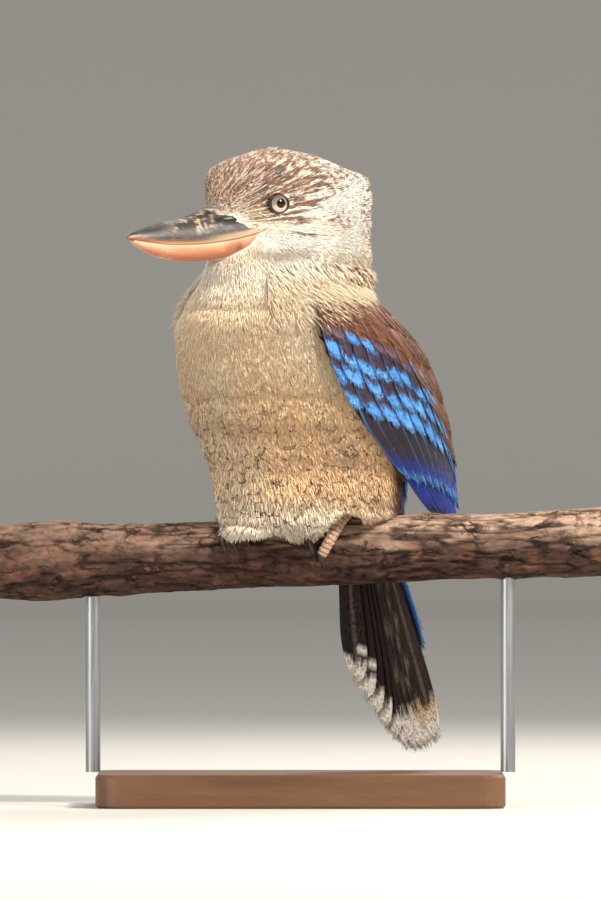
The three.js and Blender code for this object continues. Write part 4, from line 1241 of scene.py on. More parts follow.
WING_TIERS = [
    VaneTier("primaries", 7, (0.93, 1.03), (0.2, 0.84), 0.45, 0.13, 0.4, 0.1, "primary", 150),
    VaneTier("secondaries", 11, (0.79, 0.92), (0.1, 0.93), 0.4, 0.085, 1.5, 1.4, "secondary", 150),
    VaneTier("tertials", 4, (0.72, 0.84), (0.8, 0.97), 0.34, 0.08, 2.4, 2.0, "secondary", 130),
    VaneTier("great coverts", 9, (0.47, 0.74), (0.05, 0.86), 0.27, 0.078, 2.7, 2.5, "covert", 240, 0.9,
             0.022),
    VaneTier("middle coverts", 9, (0.36, 0.62), (0.02, 0.82), 0.22, 0.072, 3.5, 3.3, "covert", 240, 0.9,
             0.026),
    VaneTier("upper coverts", 9, (0.25, 0.49), (0.05, 0.76), 0.19, 0.07, 4.2, 4.0, "covert", 220, 0.9, 0.024),
    VaneTier("small coverts", 9, (0.15, 0.36), (0.04, 0.72), 0.16, 0.066, 4.8, 4.6, "small", 200, 0.8, 0.02),
    VaneTier("shoulder coverts", 10, (0.07, 0.24), (0.02, 0.7), 0.14, 0.066, 5.1, 4.9, "back", 190, 0.8,
             0.02),
    VaneTier("low scapulars", 4, (0.66, 0.76), (0.76, 0.98), 0.24, 0.07, 3.8, 3.2, "back", 210),
    VaneTier("middle scapulars", 4, (0.52, 0.62), (0.72, 0.98), 0.22, 0.07, 4.5, 4.0, "back", 210),
    VaneTier("upper scapulars", 5, (0.38, 0.48), (0.66, 0.98), 0.2, 0.07, 5.1, 4.6, "back", 210, 0.8, 0.02),
    VaneTier("high scapulars", 6, (0.24, 0.34), (0.56, 0.98), 0.18, 0.068, 5.4, 5.1, "back", 210, 0.8, 0.02),
    VaneTier("top scapulars", 8, (0.1, 0.2), (0.36, 0.98), 0.14, 0.066, 5.5, 5.3, "back", 200, 0.8, 0.02),
    VaneTier("mantle edge", 10, (0.03, 0.08), (0.05, 0.98), 0.1, 0.062, 4.6, 5.2, "back", 160, 0.8, 0.012),
]


@dataclass
class WingMaker:
    """Builds one wing's lining, vanes and barbs."""

    wing: Wing
    seed: int

    def build(self, finish: bpy.types.Material) -> None:
        """Lining first, then the tiers from the flight feathers up to the shoulder."""
        rng = np.random.default_rng(self.seed)
        wing = self.wing
        a = np.linspace(0, 0.8, 24)[:, None]
        b = np.linspace(0.02, 0.98, 18)[None, :]
        a, b = np.broadcast_arrays(a, b)
        full = np.sin(np.pi * np.clip(b, 0.12, 0.88))
        rings = np.concatenate([wing.place(a, b, 0.6 * full), wing.place(a, b, -4.2 * full)[:, ::-1]], 1)
        points, faces = closed_tube(rings)
        uv = np.full((len(points), 2), 0.98)
        lining = add_piece(f"wing_{wing.name}_lining", points, faces,
                           mix(HUE.brown * 0.6, HUE.dark, step(262, 240, points[:, 2])), uv)
        dress(lining, finish, "wing_feathers", f"wing_{wing.name}")
        vanes = Vanes()
        order = 0
        for tier in WING_TIERS:
            for i in range(tier.count):
                t = i / (tier.count - 1)
                tip = tier.tips[0] + (tier.tips[1] - tier.tips[0]) * t + rng.uniform(-1, 1) * tier.stray
                middle = tier.across[0] + (tier.across[1] - tier.across[0]) * t
                root = max(tip - tier.long, -0.02)
                vanes.add(wing.place, tier, root, tip, middle, PAINTS[tier.paint], rng, order)
                order += 1
        dress(vanes.finish(f"wing_{wing.name}_vanes"), finish, "wing_feathers")
        barbs = vanes.finish_barbs(f"wing_{wing.name}_barbs", (2.2, 4.6), 0.34, self.seed + 1,
                                    0.85 if wing.side > 0 else 0.5)
        dress(barbs, finish, "wing_feathers")
        log.info("wing %s with %d vanes", wing.name, order)


@dataclass
class Back:
    """Mantle and rump feathers between the wings."""

    body: Body
    top: float = 272.0
    foot: float = 168.0
    open: float = 44.0

    def place(self, down: Array, across: Array, height: Array) -> Array:
        """Height falls with the way down; across turns from the left to the right of the spine."""
        up = np.clip(self.top + (self.foot - self.top) * down, 146, 352)
        turn = np.radians(180 + self.open * (2 * np.asarray(across) - 1))
        return self.body.skin(up, turn, np.asarray(height) - 1.0)

    def build(self, finish: bpy.types.Material) -> None:
        """Tiers from the rump up to the mantle."""
        rng = np.random.default_rng(303)
        vanes = Vanes()
        tiers = 9
        order = 0
        for k in range(tiers):
            low = 1 - k / (tiers - 1)
            tier = VaneTier("back", 8 + k % 2, (0.16 + 0.86 * low, 0.16 + 0.86 * low), (0.04, 0.96), 0.24,
                            0.1,
                            0.8 + 3.4 * (1 - low), 0.6 + 3.2 * (1 - low), "rump" if low > 0.7 else "back",
                            220)
            for i in range(tier.count):
                t = i / (tier.count - 1)
                tip = tier.tips[0] + rng.uniform(-0.02, 0.02)
                middle = tier.across[0] + (tier.across[1] - tier.across[0]) * t
                vanes.add(self.place, tier, tip - tier.long, tip, middle, PAINTS[tier.paint], rng, order)
                order += 1
        dress(vanes.finish("back_vanes"), finish, "back_plumage")
        dress(vanes.finish_barbs("back_barbs", (2.5, 5), 0.38, 304, 0.55), finish, "back_plumage")
        log.info("back with %d vanes", order)


@dataclass
class Tail:
    """Twelve tail feathers in a narrow fan, dark below with white tips and blue above."""

    root: Array = field(default_factory=lambda: np.array([28.5, 35.0, 174.0]))
    down: Array = field(default_factory=lambda: unit(np.array([0.179, 0.13, -1.0])))
    turn: float = math.radians(52)
    length: float = 149.0
    half: tuple[float, float] = (10.0, 32.0)
    bow: tuple[float, float] = (3.0, 3.2)
    count: int = 12
    shorter: tuple[float, float, float] = (0.23, 0.02, 1.4)

    def place(self, along: Array, across: Array, height: Array) -> Array:
        """Down the fan by the way along, aside by its half width, bowed backwards in the middle."""
        side = np.array([math.sin(self.turn), -math.cos(self.turn), 0.0])
        back = unit(np.cross(side, self.down))
        along, across = np.asarray(along), np.asarray(across)
        half = self.half[0] + (self.half[1] - self.half[0]) * along
        bend = (self.bow[0] + self.bow[1] * along) * (1 - across * across)
        return (self.root + self.down * (self.length * along * (1 - 0.06 * across ** 2))[..., None]
                + side * (half * across)[..., None] + back * (np.asarray(height) + bend)[..., None])

    def paint(self, middle: float) -> Callable[[Array, Array, float], Array]:
        """The colours of the underside of the feather at one place across the fan.

        Each is dark brown with a paler shaft and a broad white tip; the outer ones have pale
        patches on one web, and those on the left side have a buff tinge before the tip.
        """

        def colour(s: Array, q: Array, tone: float) -> Array:
            base = mix(HUE.dark * (0.45 + 0.4 * tone), HUE.brown * 0.35, np.full(s.shape, 0.2 + 0.25 * tone))
            base = mix(base, HUE.grey_buff, 0.2 * step(0.06, 0.02, np.abs(q)) * step(0.98, 0.8, s))
            ragged = 0.012 * np.cos(q * 9 + tone * 20) + 0.02 * np.abs(q)
            start = 0.9 - 0.03 * max(0.0, middle) + 0.012 * tone
            tip = step(start - 0.012, start + 0.012, s + ragged)
            tinge = step(0.5, 0.8, np.full(s.shape, middle)) * step(0.965, 0.9, s)
            white = mix(HUE.white, HUE.buff * 0.8, tinge)
            spot = step(0.024, 0.014, np.abs(s - 0.83)) * step(0.1, 0.2, q) * (middle < -0.8)
            web = np.abs(((s * (4.5 + 2.5 * tone) + 3.7 * tone + 0.35 * q) % 1) - 0.5)
            wedge = step(0.2, 0.1, web) * step(-0.45, -0.75, q) * (middle > 0.35) * step(0.3, 0.45, s)
            base = mix(base, HUE.buff * 0.5, 0.35 * wedge * (0.4 + 0.6 * tone))
            return mix(base, white, np.clip(tip + spot, 0, 1))

        return colour

    def build(self, finish: bpy.types.Material) -> None:
        """Tail feathers, the outermost lying foremost, then the coverts above and below their roots."""
        rng = np.random.default_rng(77)
        vanes = Vanes(rows=30, cols=9)
        right, left, power = self.shorter
        for i in range(self.count):
            spot = 2 * i / (self.count - 1) - 1
            tip = 1 - right * max(0, -spot) ** power - left * max(0, spot) ** power
            tier = VaneTier("tail", self.count, (tip, tip), (0, 1), tip, 0.31, 1.2 - 2 * abs(spot),
                            1.2 - 2.6 * abs(spot), "", 420, -1.0 * float(np.sign(spot)))
            vanes.add(self.place, tier, 0.02, tip, spot * 0.8, self.paint(spot), rng, i)
        order = self.count
        for row, (tip, lift, name) in enumerate(((0.64, 2.4, "upper"), (0.48, 4.6, "rump"),
                                                 (0.34, 6.2, "rump"),
                                                  (0.22, 7.4, "rump"))):
            for i in range(5):
                spot = 1 - 0.4 * i
                edge = i == 0
                reach = tip + 0.03 * rng.uniform(-1, 1) - (0 if edge else 0.05 * (row == 0))
                tier = VaneTier("coverts", 5, (tip, tip), (0, 1), tip, 0.3, lift, lift - 0.4, name, 200, 0.3)
                middle = spot * (1.06 if row == 0 else 0.9)
                vanes.add(self.place, tier, max(reach - 0.5, 0.0), reach, middle, PAINTS[name], rng, order)
                order += 1
        for i in range(6):
            spot = -0.8 + 0.32 * i
            tier = VaneTier("vent", 6, (0.26, 0.26), (0, 1), 0.26, 0.3, -2.6, -2.8, "vent", 120, 0.2)
            vanes.add(self.place, tier, 0.0, 0.24 + 0.02 * rng.uniform(-1, 1), spot, PAINTS["vent"], rng,
                      order)
            order += 1
        dress(vanes.finish("tail_vanes"), finish, "tail_feathers", "tail")
        dress(vanes.finish_barbs("tail_barbs", (3, 6), 0.34, 78), finish, "tail_feathers")
        log.info("tail with %d feathers", order)


@dataclass
class Head:
    """Bill, eyes and lids."""

    eye = (36.0, 20.3, 324.7)
    lid_out = 6.3
    bill_at = np.array([40, 50, 62, 75, 90, 105, 116, 124.5])
    bill_half = np.array([19, 17, 15, 12.4, 9.4, 6.4, 3.6, 0.7])
    culmen_at = np.array([40, 69, 82, 101, 114, 121, 124.5])
    culmen = np.array([322.4, 321.2, 317.6, 313.7, 310.4, 308.4, 306.4])
    mouth_at = np.array([40, 48, 63, 82, 101, 116, 124.5])
    mouth = np.array([311.6, 308.8, 305.6, 303.2, 302.8, 304.2, 305.6])
    bill_foot_at = np.array([40, 50, 63, 86, 104, 114, 121])
    bill_foot = np.array([299.5, 297.6, 294.8, 293.4, 295.6, 299, 302.6])
    upper_power = 0.9
    lower_power = 0.8
    lower_narrower = 0.93
    feather_at = np.array([38.0, 46.0, 52.0, 56.4, 62.0, 66.3, 71.0])
    feather_edge = np.array([311.9, 311.2, 312.1, 314.4, 316.6, 318.2, 322.0])
    nostril = (63.5, 316.4, 5.4, 1.0)
    eye_radius: float = 6.4

    @classmethod
    def upper_sizes(cls, f: Array) -> tuple[Array, Array, Array]:
        """Half width, mouth line and ridge of the upper bill."""
        foot = smooth(cls.mouth_at, cls.mouth, f)
        return smooth(cls.bill_at, cls.bill_half, f), foot, np.maximum(smooth(cls.culmen_at, cls.culmen, f),
                                                                       foot + 0.8)

    @classmethod
    def inside_bill(cls, f: Array, l: Array, u: Array) -> Array:
        """Whether points lie inside the bill, by the half width of its arch or keel at their height."""
        half, foot, top = cls.upper_sizes(f)
        keel = np.minimum(smooth(cls.bill_foot_at, cls.bill_foot, f), foot - 0.8)
        high = np.clip((u - foot) / (top - foot), 0, 1) ** (1 / cls.upper_power)
        low = np.clip((foot - u) / (foot - keel), 0, 1) ** (1 / cls.lower_power)
        width = np.where(u > foot, half * np.sqrt(1 - high ** 2), half * cls.lower_narrower
                         * np.sqrt(1 - low ** 2))
        return (f > 40.5) & (u > keel) & (u < top) & (np.abs(l) < width - 0.4)

    def build_upper(self, finish: bpy.types.Material) -> None:
        """Upper mandible: an arch over a flat sole, with a soft ridge and slit nostrils."""
        rows, cols = 90, 64
        f = (40 + 84.5 * (1 - (1 - np.linspace(0, 1, rows)) ** 1.25))[:, None]
        a = np.linspace(0, 2 * np.pi, cols, endpoint=False)[None, :]
        half = smooth(self.bill_at, self.bill_half, f)
        foot = smooth(self.mouth_at, self.mouth, f)
        top = np.maximum(smooth(self.culmen_at, self.culmen, f), foot + 0.8)
        arch = np.maximum(np.sin(a), 0) ** 0.86
        ridge = 0.35 * np.exp(-(np.cos(a) / 0.16) ** 2) * (np.sin(a) > 0) * step(124, 112, f)
        under = np.maximum(-np.sin(a), 0) * np.minimum(1.2, half * 0.3)
        left = half * np.cos(a) * (1 - 0.05 * np.maximum(np.sin(a), 0))
        up = foot + (top - foot) * arch + ridge - under + 0.0 * a
        nf, nu, long, high = self.nostril
        hole = np.exp(-(((f - nf) / long) ** 2 + ((up - nu) / high) ** 2))
        left = left * (1 - 0.22 * hole)
        rings = world(f + 0 * a, left, up)
        points, faces = closed_tube(rings)
        pf, _, pu = bird(points)
        low = smooth(self.mouth_at, self.mouth, pf)
        grain = layers(points, (5.0, 5.0, 1.6), 90)
        shade = mix(HUE.slate, HUE.slate * 0.45, step(0.4, 0.7, grain))
        crust = step(0.5, 0.62, layers(points, 4.5, 92)) * np.exp(-(((pf - 84) / 15) ** 2)) * step(4, 9, pu
                                                                                                   - low)
        shade = mix(shade, HUE.grey_buff, 0.75 * crust * step(0.45, 0.6, noise(points, 1.1, 93)))
        shade = mix(shade, HUE.rust, 0.8 * step(2.4, 1.3, pu - low) * step(56, 80, pf))
        shade = mix(shade, HUE.horn_cream * 0.7, 0.6 * step(1.1, 0.4, pu - low) * step(118, 100, pf))
        strip = step(3.6, 1.4, pu - low - 0.16 * np.clip(52 - pf, 0, 12)) * step(84, 64, pf)
        shade = mix(shade, HUE.horn_cream * 0.62, strip)
        # Painted shade: the nostril is painted near black over only a shallow dent, standing in for the shade
        # inside the opening.
        nostril = np.exp(-(((pf - nf) / long) ** 2 + ((pu - nu) / high) ** 2))
        shade = mix(shade, HUE.dark * 0.06, np.clip(1.6 * nostril, 0, 1))
        uv = np.stack([0.1 + 0.8 * (pf - 38) / 90, 0.1 + 0.8 * (pu - 290) / 40], -1)
        piece = add_piece("bill_upper", points, faces, shade, uv)
        dress(piece, finish, "upper_bill", "upper_mandible")

    def build_lower(self, finish: bpy.types.Material) -> None:
        """Lower mandible: a boat under the mouth line, a little shorter than the upper."""
        rows, cols = 80, 56
        f = (40 + 81 * (1 - (1 - np.linspace(0, 1, rows)) ** 1.25))[:, None]
        a = np.linspace(0, 2 * np.pi, cols, endpoint=False)[None, :]
        half = smooth(self.bill_at, self.bill_half, f) * 0.93
        top = smooth(self.mouth_at, self.mouth, f) - 0.45
        foot = np.minimum(smooth(self.bill_foot_at, self.bill_foot, f), top - 0.8)
        keel = np.maximum(-np.sin(a), 0) ** 0.78
        up = top - (top - foot) * keel + 0 * a
        rings = world(f + 0 * a, half * np.cos(a), up)
        points, faces = closed_tube(rings)
        pf, _, pu = bird(points)
        high = smooth(self.mouth_at, self.mouth, pf)
        blotch = layers(points, 12, 91)
        shade = mix(HUE.horn * 0.8, HUE.horn_cream * 0.85, 0.75
                    * step(4.5, 0.5, high - pu + 2 * (blotch - 0.5)))
        shade = mix(shade, rgb(190, 98, 70), 0.7 * step(4, 9, high - pu))
        patch = np.exp(-(((pf - 55) / 9) ** 2 + ((high - pu - 5) / 3.2) ** 2))
        shade = mix(shade, HUE.rust * 0.8, np.clip(1.2 * patch, 0, 0.9) * step(0.38, 0.56, blotch))
        shade = mix(shade, HUE.rust, 0.6 * step(0.7, 0.2, high - pu))
        uv = np.stack([0.1 + 0.8 * (pf - 38) / 90, 0.1 + 0.8 * (pu - 290) / 40], -1)
        piece = add_piece("bill_lower", points, faces, shade, uv)
        dress(piece, finish, "lower_bill", "lower_mandible")

    def eye_axis(self, side: int) -> Array:
        """The way that an eye looks out."""
        return unit(turned(0.28, side, 0.02))

    def build_eye(self, side: int, name: str, wet: bpy.types.Material, rim: bpy.types.Material) -> None:
        """Eyeball with pupil and grey-brown iris, with painted light on its lower part and painted shade on
        its top, and the dark rim of its lids.
        """
        centre = world(self.eye[0], side * self.eye[1], self.eye[2])
        axis = self.eye_axis(side)
        over = unit(np.cross(np.cross(axis, [0, 0, 1.0]), axis))
        beside = np.cross(axis, over)
        polar = np.linspace(0.002, np.pi - 0.002, 60)[:, None]
        round_ = np.linspace(0, 2 * np.pi, 64, endpoint=False)[None, :]
        bulge = 1 + 0.05 * np.exp(-(polar / 0.5) ** 2)
        spot = (np.cos(polar)[..., None] * axis
                + np.sin(polar)[..., None]
                * (np.cos(round_)[..., None] * over + np.sin(round_)[..., None] * beside))
        points, faces = closed_tube(centre + self.eye_radius * bulge[..., None] * spot)
        aside = unit(points - centre)
        angle = np.arccos(np.clip(aside @ axis, -1, 1))
        streaks = noise(np.stack([np.arctan2(aside @ beside, aside @ over) * 14, angle * 8, angle * 0], -1),
                        1.0, 7)
        iris = mix(rgb(146, 130, 118), rgb(92, 78, 70), 0.55 * streaks + 0.45 * step(0.5, 0.72, angle))
        # Painted light and shade: the lower part of the iris is painted pale as if lit, and the top darker as
        # if shaded by the upper lid.
        iris = mix(iris, rgb(226, 208, 186), 0.75 * step(0.02, -0.4, aside @ over))
        iris = mix(iris, rgb(92, 74, 62), 0.6 * step(0.1, 0.6, aside @ over))
        colour = mix(rgb(4, 4, 5), iris, step(0.39, 0.43, angle))
        colour = mix(colour, rgb(30, 20, 16), step(0.8, 0.86, angle))
        uv = np.stack([0.5 + 0.4 * aside @ beside, 0.5 + 0.4 * aside @ over], -1)
        eye = add_piece(f"eyeball_{name}", points, faces, colour, uv)
        dress(eye, wet, "eye", f"eye_{name}")
        ring = np.linspace(0, 2 * np.pi, 72, endpoint=False)
        squash = np.where(np.sin(ring) > 0, 0.78, 0.86)
        middle = (centre + axis * 3.55 + 5.75 * np.cos(ring)[:, None] * beside
                  + (5.75 * squash * np.sin(ring))[:, None] * over)
        out = unit(middle - centre - axis * 3.55)
        a = np.linspace(0, 2 * np.pi, 14, endpoint=False)
        thick = 0.55 + 0.05 * np.sin(ring * 9)
        rings = (middle[:, None] + (thick[:, None] * np.cos(a))[..., None] * out[:, None]
                 + (1.0 * np.sin(a))[None, :, None] * axis)
        lid_points = rings.reshape(-1, 3)
        quads = grid_faces(73, 14, wrap=True)
        quads = np.where(quads >= 72 * 14, quads - 72 * 14, quads)
        lid_faces = outward(lid_points - centre, quads)
        lid_uv = np.stack([0.5 + 0.4 * unit(lid_points - centre) @ beside,
                           0.5 + 0.4 * unit(lid_points - centre) @ over], -1)
        lid = add_piece(f"lid_{name}", lid_points, lid_faces,
                        np.broadcast_to(rgb(58, 44, 38), lid_points.shape), lid_uv)
        dress(lid, rim, "head_plumage")

    def build(self, materials: dict[str, bpy.types.Material]) -> None:
        """Bill, then the eyes."""
        self.build_upper(materials["upper_bill"])
        self.build_lower(materials["lower_bill"])
        self.build_eye(1, "left", materials["eye"], materials["foot"])
        self.build_eye(-1, "right", materials["eye"], materials["foot"])
        log.info("bill and eyes")


class Branch:
    """The cut length of branch that the bird grips."""

    half = 168.0
    up = 137.0
    rise = 0.035
    radius = 18.9

    @classmethod
    def radius_at(cls, x: Array) -> Array:
        """Radius with a swelling near one end and a slimmer stretch near the other."""
        return cls.radius + 3 * np.exp(-(((x + 134) / 22) ** 2)) - 1.2 * np.exp(-(((x - 100) / 40) ** 2))

    @classmethod
    def up_at(cls, x: Array) -> Array:
        """Height of the axis, which rises slightly towards +X."""
        return cls.up + cls.rise * x

    def build(self, finish: bpy.types.Material) -> None:
        """Bark with long fissures, flakes and knots, quieter under the feet, with a painted lit top and a
        painted shaded underside.
        """
        rows, cols = 360, 120
        x = np.linspace(-self.half, self.half, rows)[:, None]
        a = np.linspace(0, 2 * np.pi, cols, endpoint=False)[None, :]
        x, a = np.broadcast_arrays(x, a)
        round_place = np.stack([x, 19 * np.cos(a), 19 * np.sin(a)], -1)
        furrow = layers(round_place, (26.0, 7.0, 7.0), 400, 4)
        crack = np.abs(layers(round_place, (34.0, 6.0, 6.0), 410, 3) - 0.5)
        flake = layers(round_place, (9.0, 6.0, 6.0), 420, 3)
        knots = [(72, 1.1, 8, 2.4), (-96, 5.2, 10, 2.6), (112, 4.4, 7, 2.0), (34, 4.0, 8, 1.8),
                 (-140, 0.4, 9, 2.0)]
        lump = np.zeros_like(x)
        for kx, ka, size, high in knots:
            aside = 19 * np.angle(np.exp(1j * (a - ka)))
            d = np.hypot(x - kx, aside) / size
            lump = lump + high * np.exp(-d ** 2) - 1.6 * high * np.exp(-(d / 0.35) ** 2)
        gripped = np.maximum(np.exp(-(((x - 16) / 16) ** 4)), np.exp(-(((x + 36) / 16) ** 4)))
        rough = 2.6 * (furrow - 0.62) - 1.5 * step(0.05, 0.0, crack) + 0.9 * (flake - 0.6) + lump
        r = self.radius_at(x) + np.minimum(rough, 0.2 + 2.2 * (1 - gripped))
        rings = np.stack([x, r * np.cos(a), self.up_at(x) + r * np.sin(a)], -1)
        points, faces = closed_tube(rings)
        # Painted light and shade: the branch is painted pale on top and dark underneath, as if lit from
        # above.
        shade = mix(HUE.bark * 0.5, HUE.bark_painted_lit_top, step(-0.1, 0.75, np.sin(a) + 1.2 * (furrow - 0.5)))
        shade = mix(shade, HUE.bark * 0.7, 0.6 * step(20, -60, x))
        shade = mix(shade, HUE.bark * 0.22, 0.85 * step(0.07, 0.01, crack))
        shade = mix(shade, rgb(140, 98, 78), 0.45 * step(0.58, 0.72, flake))
        shade = mix(shade, rgb(28, 18, 14), np.clip(-lump * 1.2, 0, 0.9))
        cut = np.array([rgb(150, 116, 84)] * 2)
        uv = np.concatenate([np.stack([0.02 + 0.96 * (x + self.half) / (2 * self.half), 0.02 + 0.9 * a
                                       / 6.2832], -1
                                      ).reshape(-1, 2), [[0.01, 0.98], [0.99, 0.98]]])
        piece = add_piece("branch_bark", points, faces, np.concatenate([shade.reshape(-1, 3), cut]), uv)
        dress(piece, finish, "bark", "perch_branch")
        log.info("branch with %d faces", len(faces))


@dataclass(frozen=True)
class Toe:
    """One toe: its spread outwards, its sweep along the branch, its turns round it and its size."""

    name: str
    spread: tuple[float, float]
    sweep: float
    start: float
    end: float
    size: float


@dataclass
class Foot:
    """A foot that grips the branch with three toes in front and one behind."""

    side: int
    foot_x: float
    toe_radius: float = 3.1
    gap: float = 0.35
    claw: float = 11.0
    claw_sweep: float = 5.0
    hidden_end: float = 22.0
    arch: float = 1.6
    scutes: int = 17
    toes: tuple[Toe, ...] = (
        Toe("inner", (-2, -10.5), -20, 84, 34, 0.92), Toe("middle", (0, -4.8), -20, 84, 14, 1.0),
        Toe("outer", (2, 1), -20, 84, -6, 1.05), Toe("back", (1, 2), 8, 92, 152, 0.9))

    @property
    def name(self) -> str:
        """left or right."""
        return "left" if self.side > 0 else "right"

    def beside(self, x: Array, degrees: Array, away: Array) -> Array:
        """A point beside the branch: turn 0 faces -Y and a quarter turn is the top."""
        a = np.radians(degrees)
        r = Branch.radius_at(x) + away
        return np.stack([x + 0 * a, -r * np.cos(a), Branch.up_at(x) + r * np.sin(a)], -1)

    def toe_x(self, toe: Toe, s: Array) -> Array:
        """Place along the branch at a part of the way down a toe."""
        return self.foot_x + self.side * (toe.spread[0] + (toe.spread[1] - toe.spread[0]) * s) + toe.sweep * s

    def end_of(self, toe: Toe) -> float:
        """Where a toe ends; the right foot's front toes end higher, under the belly."""
        hidden = self.side < 0 and toe.name != "back"
        return max(toe.end, self.hidden_end) if hidden else toe.end

    def rings_over(self, path: Array, radii: Array, over: Array) -> Array:
        """Rings across a path whose first point faces away from the branch."""
        along = unit(np.gradient(path, axis=0))
        across = unit(np.cross(along, over))
        over = unit(np.cross(across, along))
        a = np.linspace(0, 2 * np.pi, radii.shape[1], endpoint=False)
        return path[:, None] + radii[..., None] * (np.cos(a)[None, :, None] * over[:, None]
                                                   + np.sin(a)[None, :, None] * across[:, None])

    def build(self, skin: bpy.types.Material, horn: bpy.types.Material) -> None:
        """Toes with swollen pads and ringed scales, the shank, and the claws."""
        points, faces, size = [], [], 0
        s = np.linspace(0, 1, 120)
        shades = []
        for toe in self.toes:
            r = self.toe_radius * toe.size
            end = self.end_of(toe)
            ridge = np.abs(np.sin(s * np.pi * self.scutes)) ** 0.6
            close = np.sqrt(np.clip(1 - ((s - 0.9) / 0.14) ** 2 * (s > 0.9), 0.08, 1))
            around = np.linspace(0, 2 * np.pi, 20, endpoint=False)
            above = step(-0.4, 0.3, np.cos(around))[None, :]
            radii = r * close[:, None] * (0.94 - 0.1 * s[:, None] + 0.1 * ridge[:, None] * above)
            lift = r + self.gap + 0.3 + self.arch * np.sin(np.pi * s) * (toe.name == "outer")
            path = self.beside(self.toe_x(toe, s), toe.start + (end - toe.start) * s, lift)
            turn = np.radians(toe.start + (end - toe.start) * s)
            over = np.stack([0 * turn, -np.cos(turn), np.sin(turn)], -1)
            p, q = closed_tube(self.rings_over(path, radii, over))
            tone = np.concatenate([(ridge[:, None] * above + 0 * radii).ravel(), [0, 0]])
            shades.append(mix(HUE.brown * 0.8, HUE.toe, 0.25 + 0.75 * tone))
            points.append(p)
            faces.append(q + size)
            size += len(p)
            self.build_claw(toe, horn)
        pad = self.beside(np.array(self.foot_x), np.array(88.0), np.array(self.toe_radius + self.gap))
        rise = np.linspace(0, 1, 20)[:, None]
        shank = pad + rise * np.array([1.0, 3.0, 13.0])
        p, q = closed_tube(path_rings(shank, 3.9 - 0.6 * rise[:, 0], 18, np.array([1.0, 0, 0])))
        points.append(p)
        faces.append(q + size)
        joined = np.concatenate(points)
        shades.append(np.broadcast_to(HUE.toe * 0.8, p.shape))
        shade = np.concatenate(shades) * (0.8 + 0.3 * noise(joined, 2.0, 500))[:, None]
        uv = np.stack([0.5 + joined[:, 0] / 400, 0.5 + joined[:, 1] / 400 + (joined[:, 2] - 137) / 400], -1)
        piece = add_piece(f"toes_{self.name}", joined, np.concatenate(faces), shade, uv)
        dress(piece, skin, "foot_skin", f"foot_{self.name}")
        log.info("foot %s", self.name)

    def build_claw(self, toe: Toe, horn: bpy.types.Material) -> None:
        """A curved, tapering claw that leaves the toe's end and bends round the branch."""
        ahead = math.copysign(1, toe.end - toe.start)
        arc = math.degrees(self.claw / Branch.radius)
        s = np.linspace(0, 1, 24)
        r = self.toe_radius * toe.size
        x = self.toe_x(toe, np.array(1.0)) - math.copysign(self.claw_sweep, toe.sweep) * s * s
        away = r * (1 - s) + self.gap + 1.1 + 1.1 * np.sin(np.pi * s)
        path = self.beside(x, self.end_of(toe) + ahead * (arc * s - 3), away)
        p, q = closed_tube(path_rings(path, r * 0.56 * (1 - s) ** 0.8 + 0.12, 14, np.array([1.0, 0, 0])))
        uv = np.stack([0.5 + p[:, 0] / 400, 0.5 + (p[:, 2] - 137) / 200], -1)
        piece = add_piece(f"talon_{self.name}_{toe.name}", p, q, None, uv)
        dress(piece, horn, "claw", f"claw_{self.name}_{toe.name}")


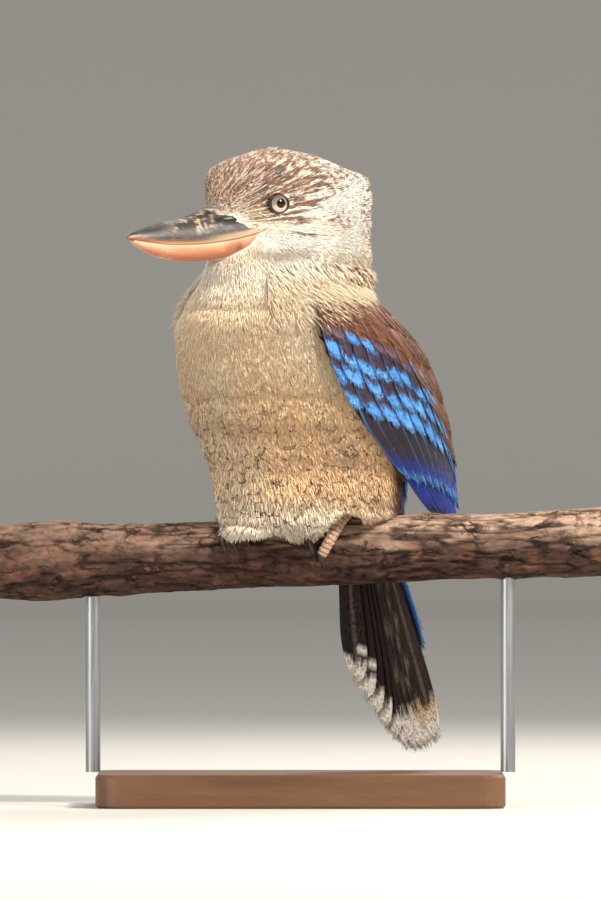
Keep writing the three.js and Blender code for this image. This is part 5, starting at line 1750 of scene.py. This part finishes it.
@dataclass
class Studio:
    """Floor, lights and camera."""

    distance: float = 9.0
    sensor: float = 36.0

    def build_floor(self) -> None:
        """A plain pale floor that curves up, far behind the bird, into a plain backdrop."""
        half_width, front, bend_at, bend, top, steps = 3000, -9500, 10500, 900, 3600, 30
        x = np.linspace(-half_width, half_width, 2)
        t = np.linspace(0, 1, steps)
        y = np.concatenate([[front], bend_at + bend * np.sin(t * np.pi / 2), [bend_at + bend]])
        z = np.concatenate([[0], bend * (1 - np.cos(t * np.pi / 2)), [top]])
        across = np.repeat(x[None], len(y), 0)
        points = np.stack([across, np.repeat(y[:, None], 2, 1), np.repeat(z[:, None], 2, 1)], -1)
        floor = add_piece("floor", points.reshape(-1, 3), grid_faces(len(y), 2))
        t = Tree("pale floor")
        t.set(Socket.COLOUR, (0.62, 0.6, 0.56, 1))
        t.set(Socket.ROUGH, 0.9)
        floor.data.materials.append(t.material)
        floor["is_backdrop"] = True

    def lamp(self, name: str, place: tuple[float, float, float], size: float, power: float,
             colour: tuple[float, float, float]) -> None:
        """A soft square lamp that looks at the bird."""
        data = bpy.data.lights.new(name, "AREA")
        data.size = size
        data.energy = power
        data.color = colour
        lamp = bpy.data.objects.new(name, data)
        lamp.location = place
        aim = Vector((0, 0, 0.22)) - Vector(place)
        lamp.rotation_euler = aim.to_track_quat("-Z", "Y").to_euler()
        bpy.context.scene.collection.objects.link(lamp)

    def build_lights(self) -> None:
        """A warm key from the upper right, a cool fill from the left and a rim from behind."""
        self.lamp("key", (1.5, -1.5, 1.75), 0.4, 104, (1.0, 0.93, 0.83))
        self.lamp("fill", (-1.9, -1.8, 0.9), 1.6, 34, (1.0, 0.96, 0.92))
        self.lamp("rim", (0.6, 1.6, 1.6), 0.9, 30, (1.0, 0.96, 0.9))
        background = bpy.data.worlds.new("soft sky")
        background.use_nodes = True
        background.node_tree.nodes["Background"].inputs["Color"].default_value = (0.94, 0.93, 0.92, 1)
        background.node_tree.nodes["Background"].inputs["Strength"].default_value = 0.5
        bpy.context.scene.world = background

    def build_camera(self) -> None:
        """A long lens near the height of the picture's middle, framing the photograph's height."""
        data = bpy.data.cameras.new("camera")
        data.sensor_width = self.sensor
        height = PHOTO_SIZE[1] * MM_PER_PIXEL * MM
        data.lens = self.sensor * self.distance / height
        data.clip_end = 30
        camera = bpy.data.objects.new("camera", data)
        camera.location = (0, -self.distance, FRAME_MIDDLE_UP * MM)
        camera.rotation_euler = (math.pi / 2, 0, 0)
        bpy.context.scene.collection.objects.link(camera)
        bpy.context.scene.camera = camera

    def build(self) -> None:
        """Camera first, then the lights and the floor."""
        self.build_camera()
        self.build_lights()
        self.build_floor()
        bpy.context.scene.view_settings.view_transform = "Standard"
        log.info("studio")


def make_materials() -> dict[str, bpy.types.Material]:
    """Every finish of the model by a short name."""
    return {
        "coat": PlumageFinish("soft coat", marked=True).make(),
        "vane": PlumageFinish("feather vanes", 0.55, 0.1, 1400, 0.2).make(),
        "upper_bill": HornFinish("slate horn", tuple(rgb(150, 128, 106)), 0.7).make(),
        "lower_bill": HornFinish("orange horn", tuple(rgb(236, 206, 166)), 0.4, 0.42).make(),
        "eye": WetFinish("wet eye").make(),
        "foot": ScaleFinish("scaly skin").make(),
        "bark": BarkFinish("rough bark").make(),
        "claw": PlainFinish("claw horn", tuple(rgb(16, 14, 14)), tuple(rgb(52, 44, 40)), 200, (1, 1, 1),
                            0.28).make(),
        "timber": PlainFinish("satin timber", tuple(rgb(74, 50, 34)), tuple(rgb(116, 82, 56)), 22,
                              (0.25, 2.4, 2.4), 0.4).make(),
        "steel": PlainFinish("brushed steel", tuple(rgb(140, 142, 146)), tuple(rgb(188, 190, 194)), 300,
                             (1, 1, 0.04), 0.3, 1.0, 0.00005).make(),
    }


def dress_stand(materials: dict[str, bpy.types.Material]) -> None:
    """Give the stand's own solids their timber and steel."""
    for node, finish in (("stand_base", "timber"), ("stand_rod_left", "steel"), ("stand_rod_right", "steel")):
        data = bpy.data.objects[node].data
        data.materials.clear()
        data.materials.append(materials[finish])


def main() -> None:
    """Build the studio, then the bird from its skin outwards, its perch and its stand."""
    logging.basicConfig(level=logging.INFO, format="%(message)s")
    Studio().build()
    materials = make_materials()
    body = Body()
    Coat(body).build(materials["coat"])
    Back(body).build(materials["vane"])
    WingMaker(Wing(1), 201).build(materials["vane"])
    WingMaker(Wing(-1), 202).build(materials["vane"])
    Tail().build(materials["vane"])
    Head().build(materials)
    Branch().build(materials["bark"])
    Foot(1, 30.0).build(materials["foot"], materials["claw"])
    Foot(-1, -21.0).build(materials["foot"], materials["claw"])
    dress_stand(materials)


def write_size() -> None:
    """Gather the solids' box and the dressed model's box into a table that is then dropped."""
    plain = lambda box: [[float(v) for v in corner] for corner in box]
    {"cad": plain(CAD_BOX), "visual": plain(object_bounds())}


if __name__ == "__main__":
    main()
    write_size()
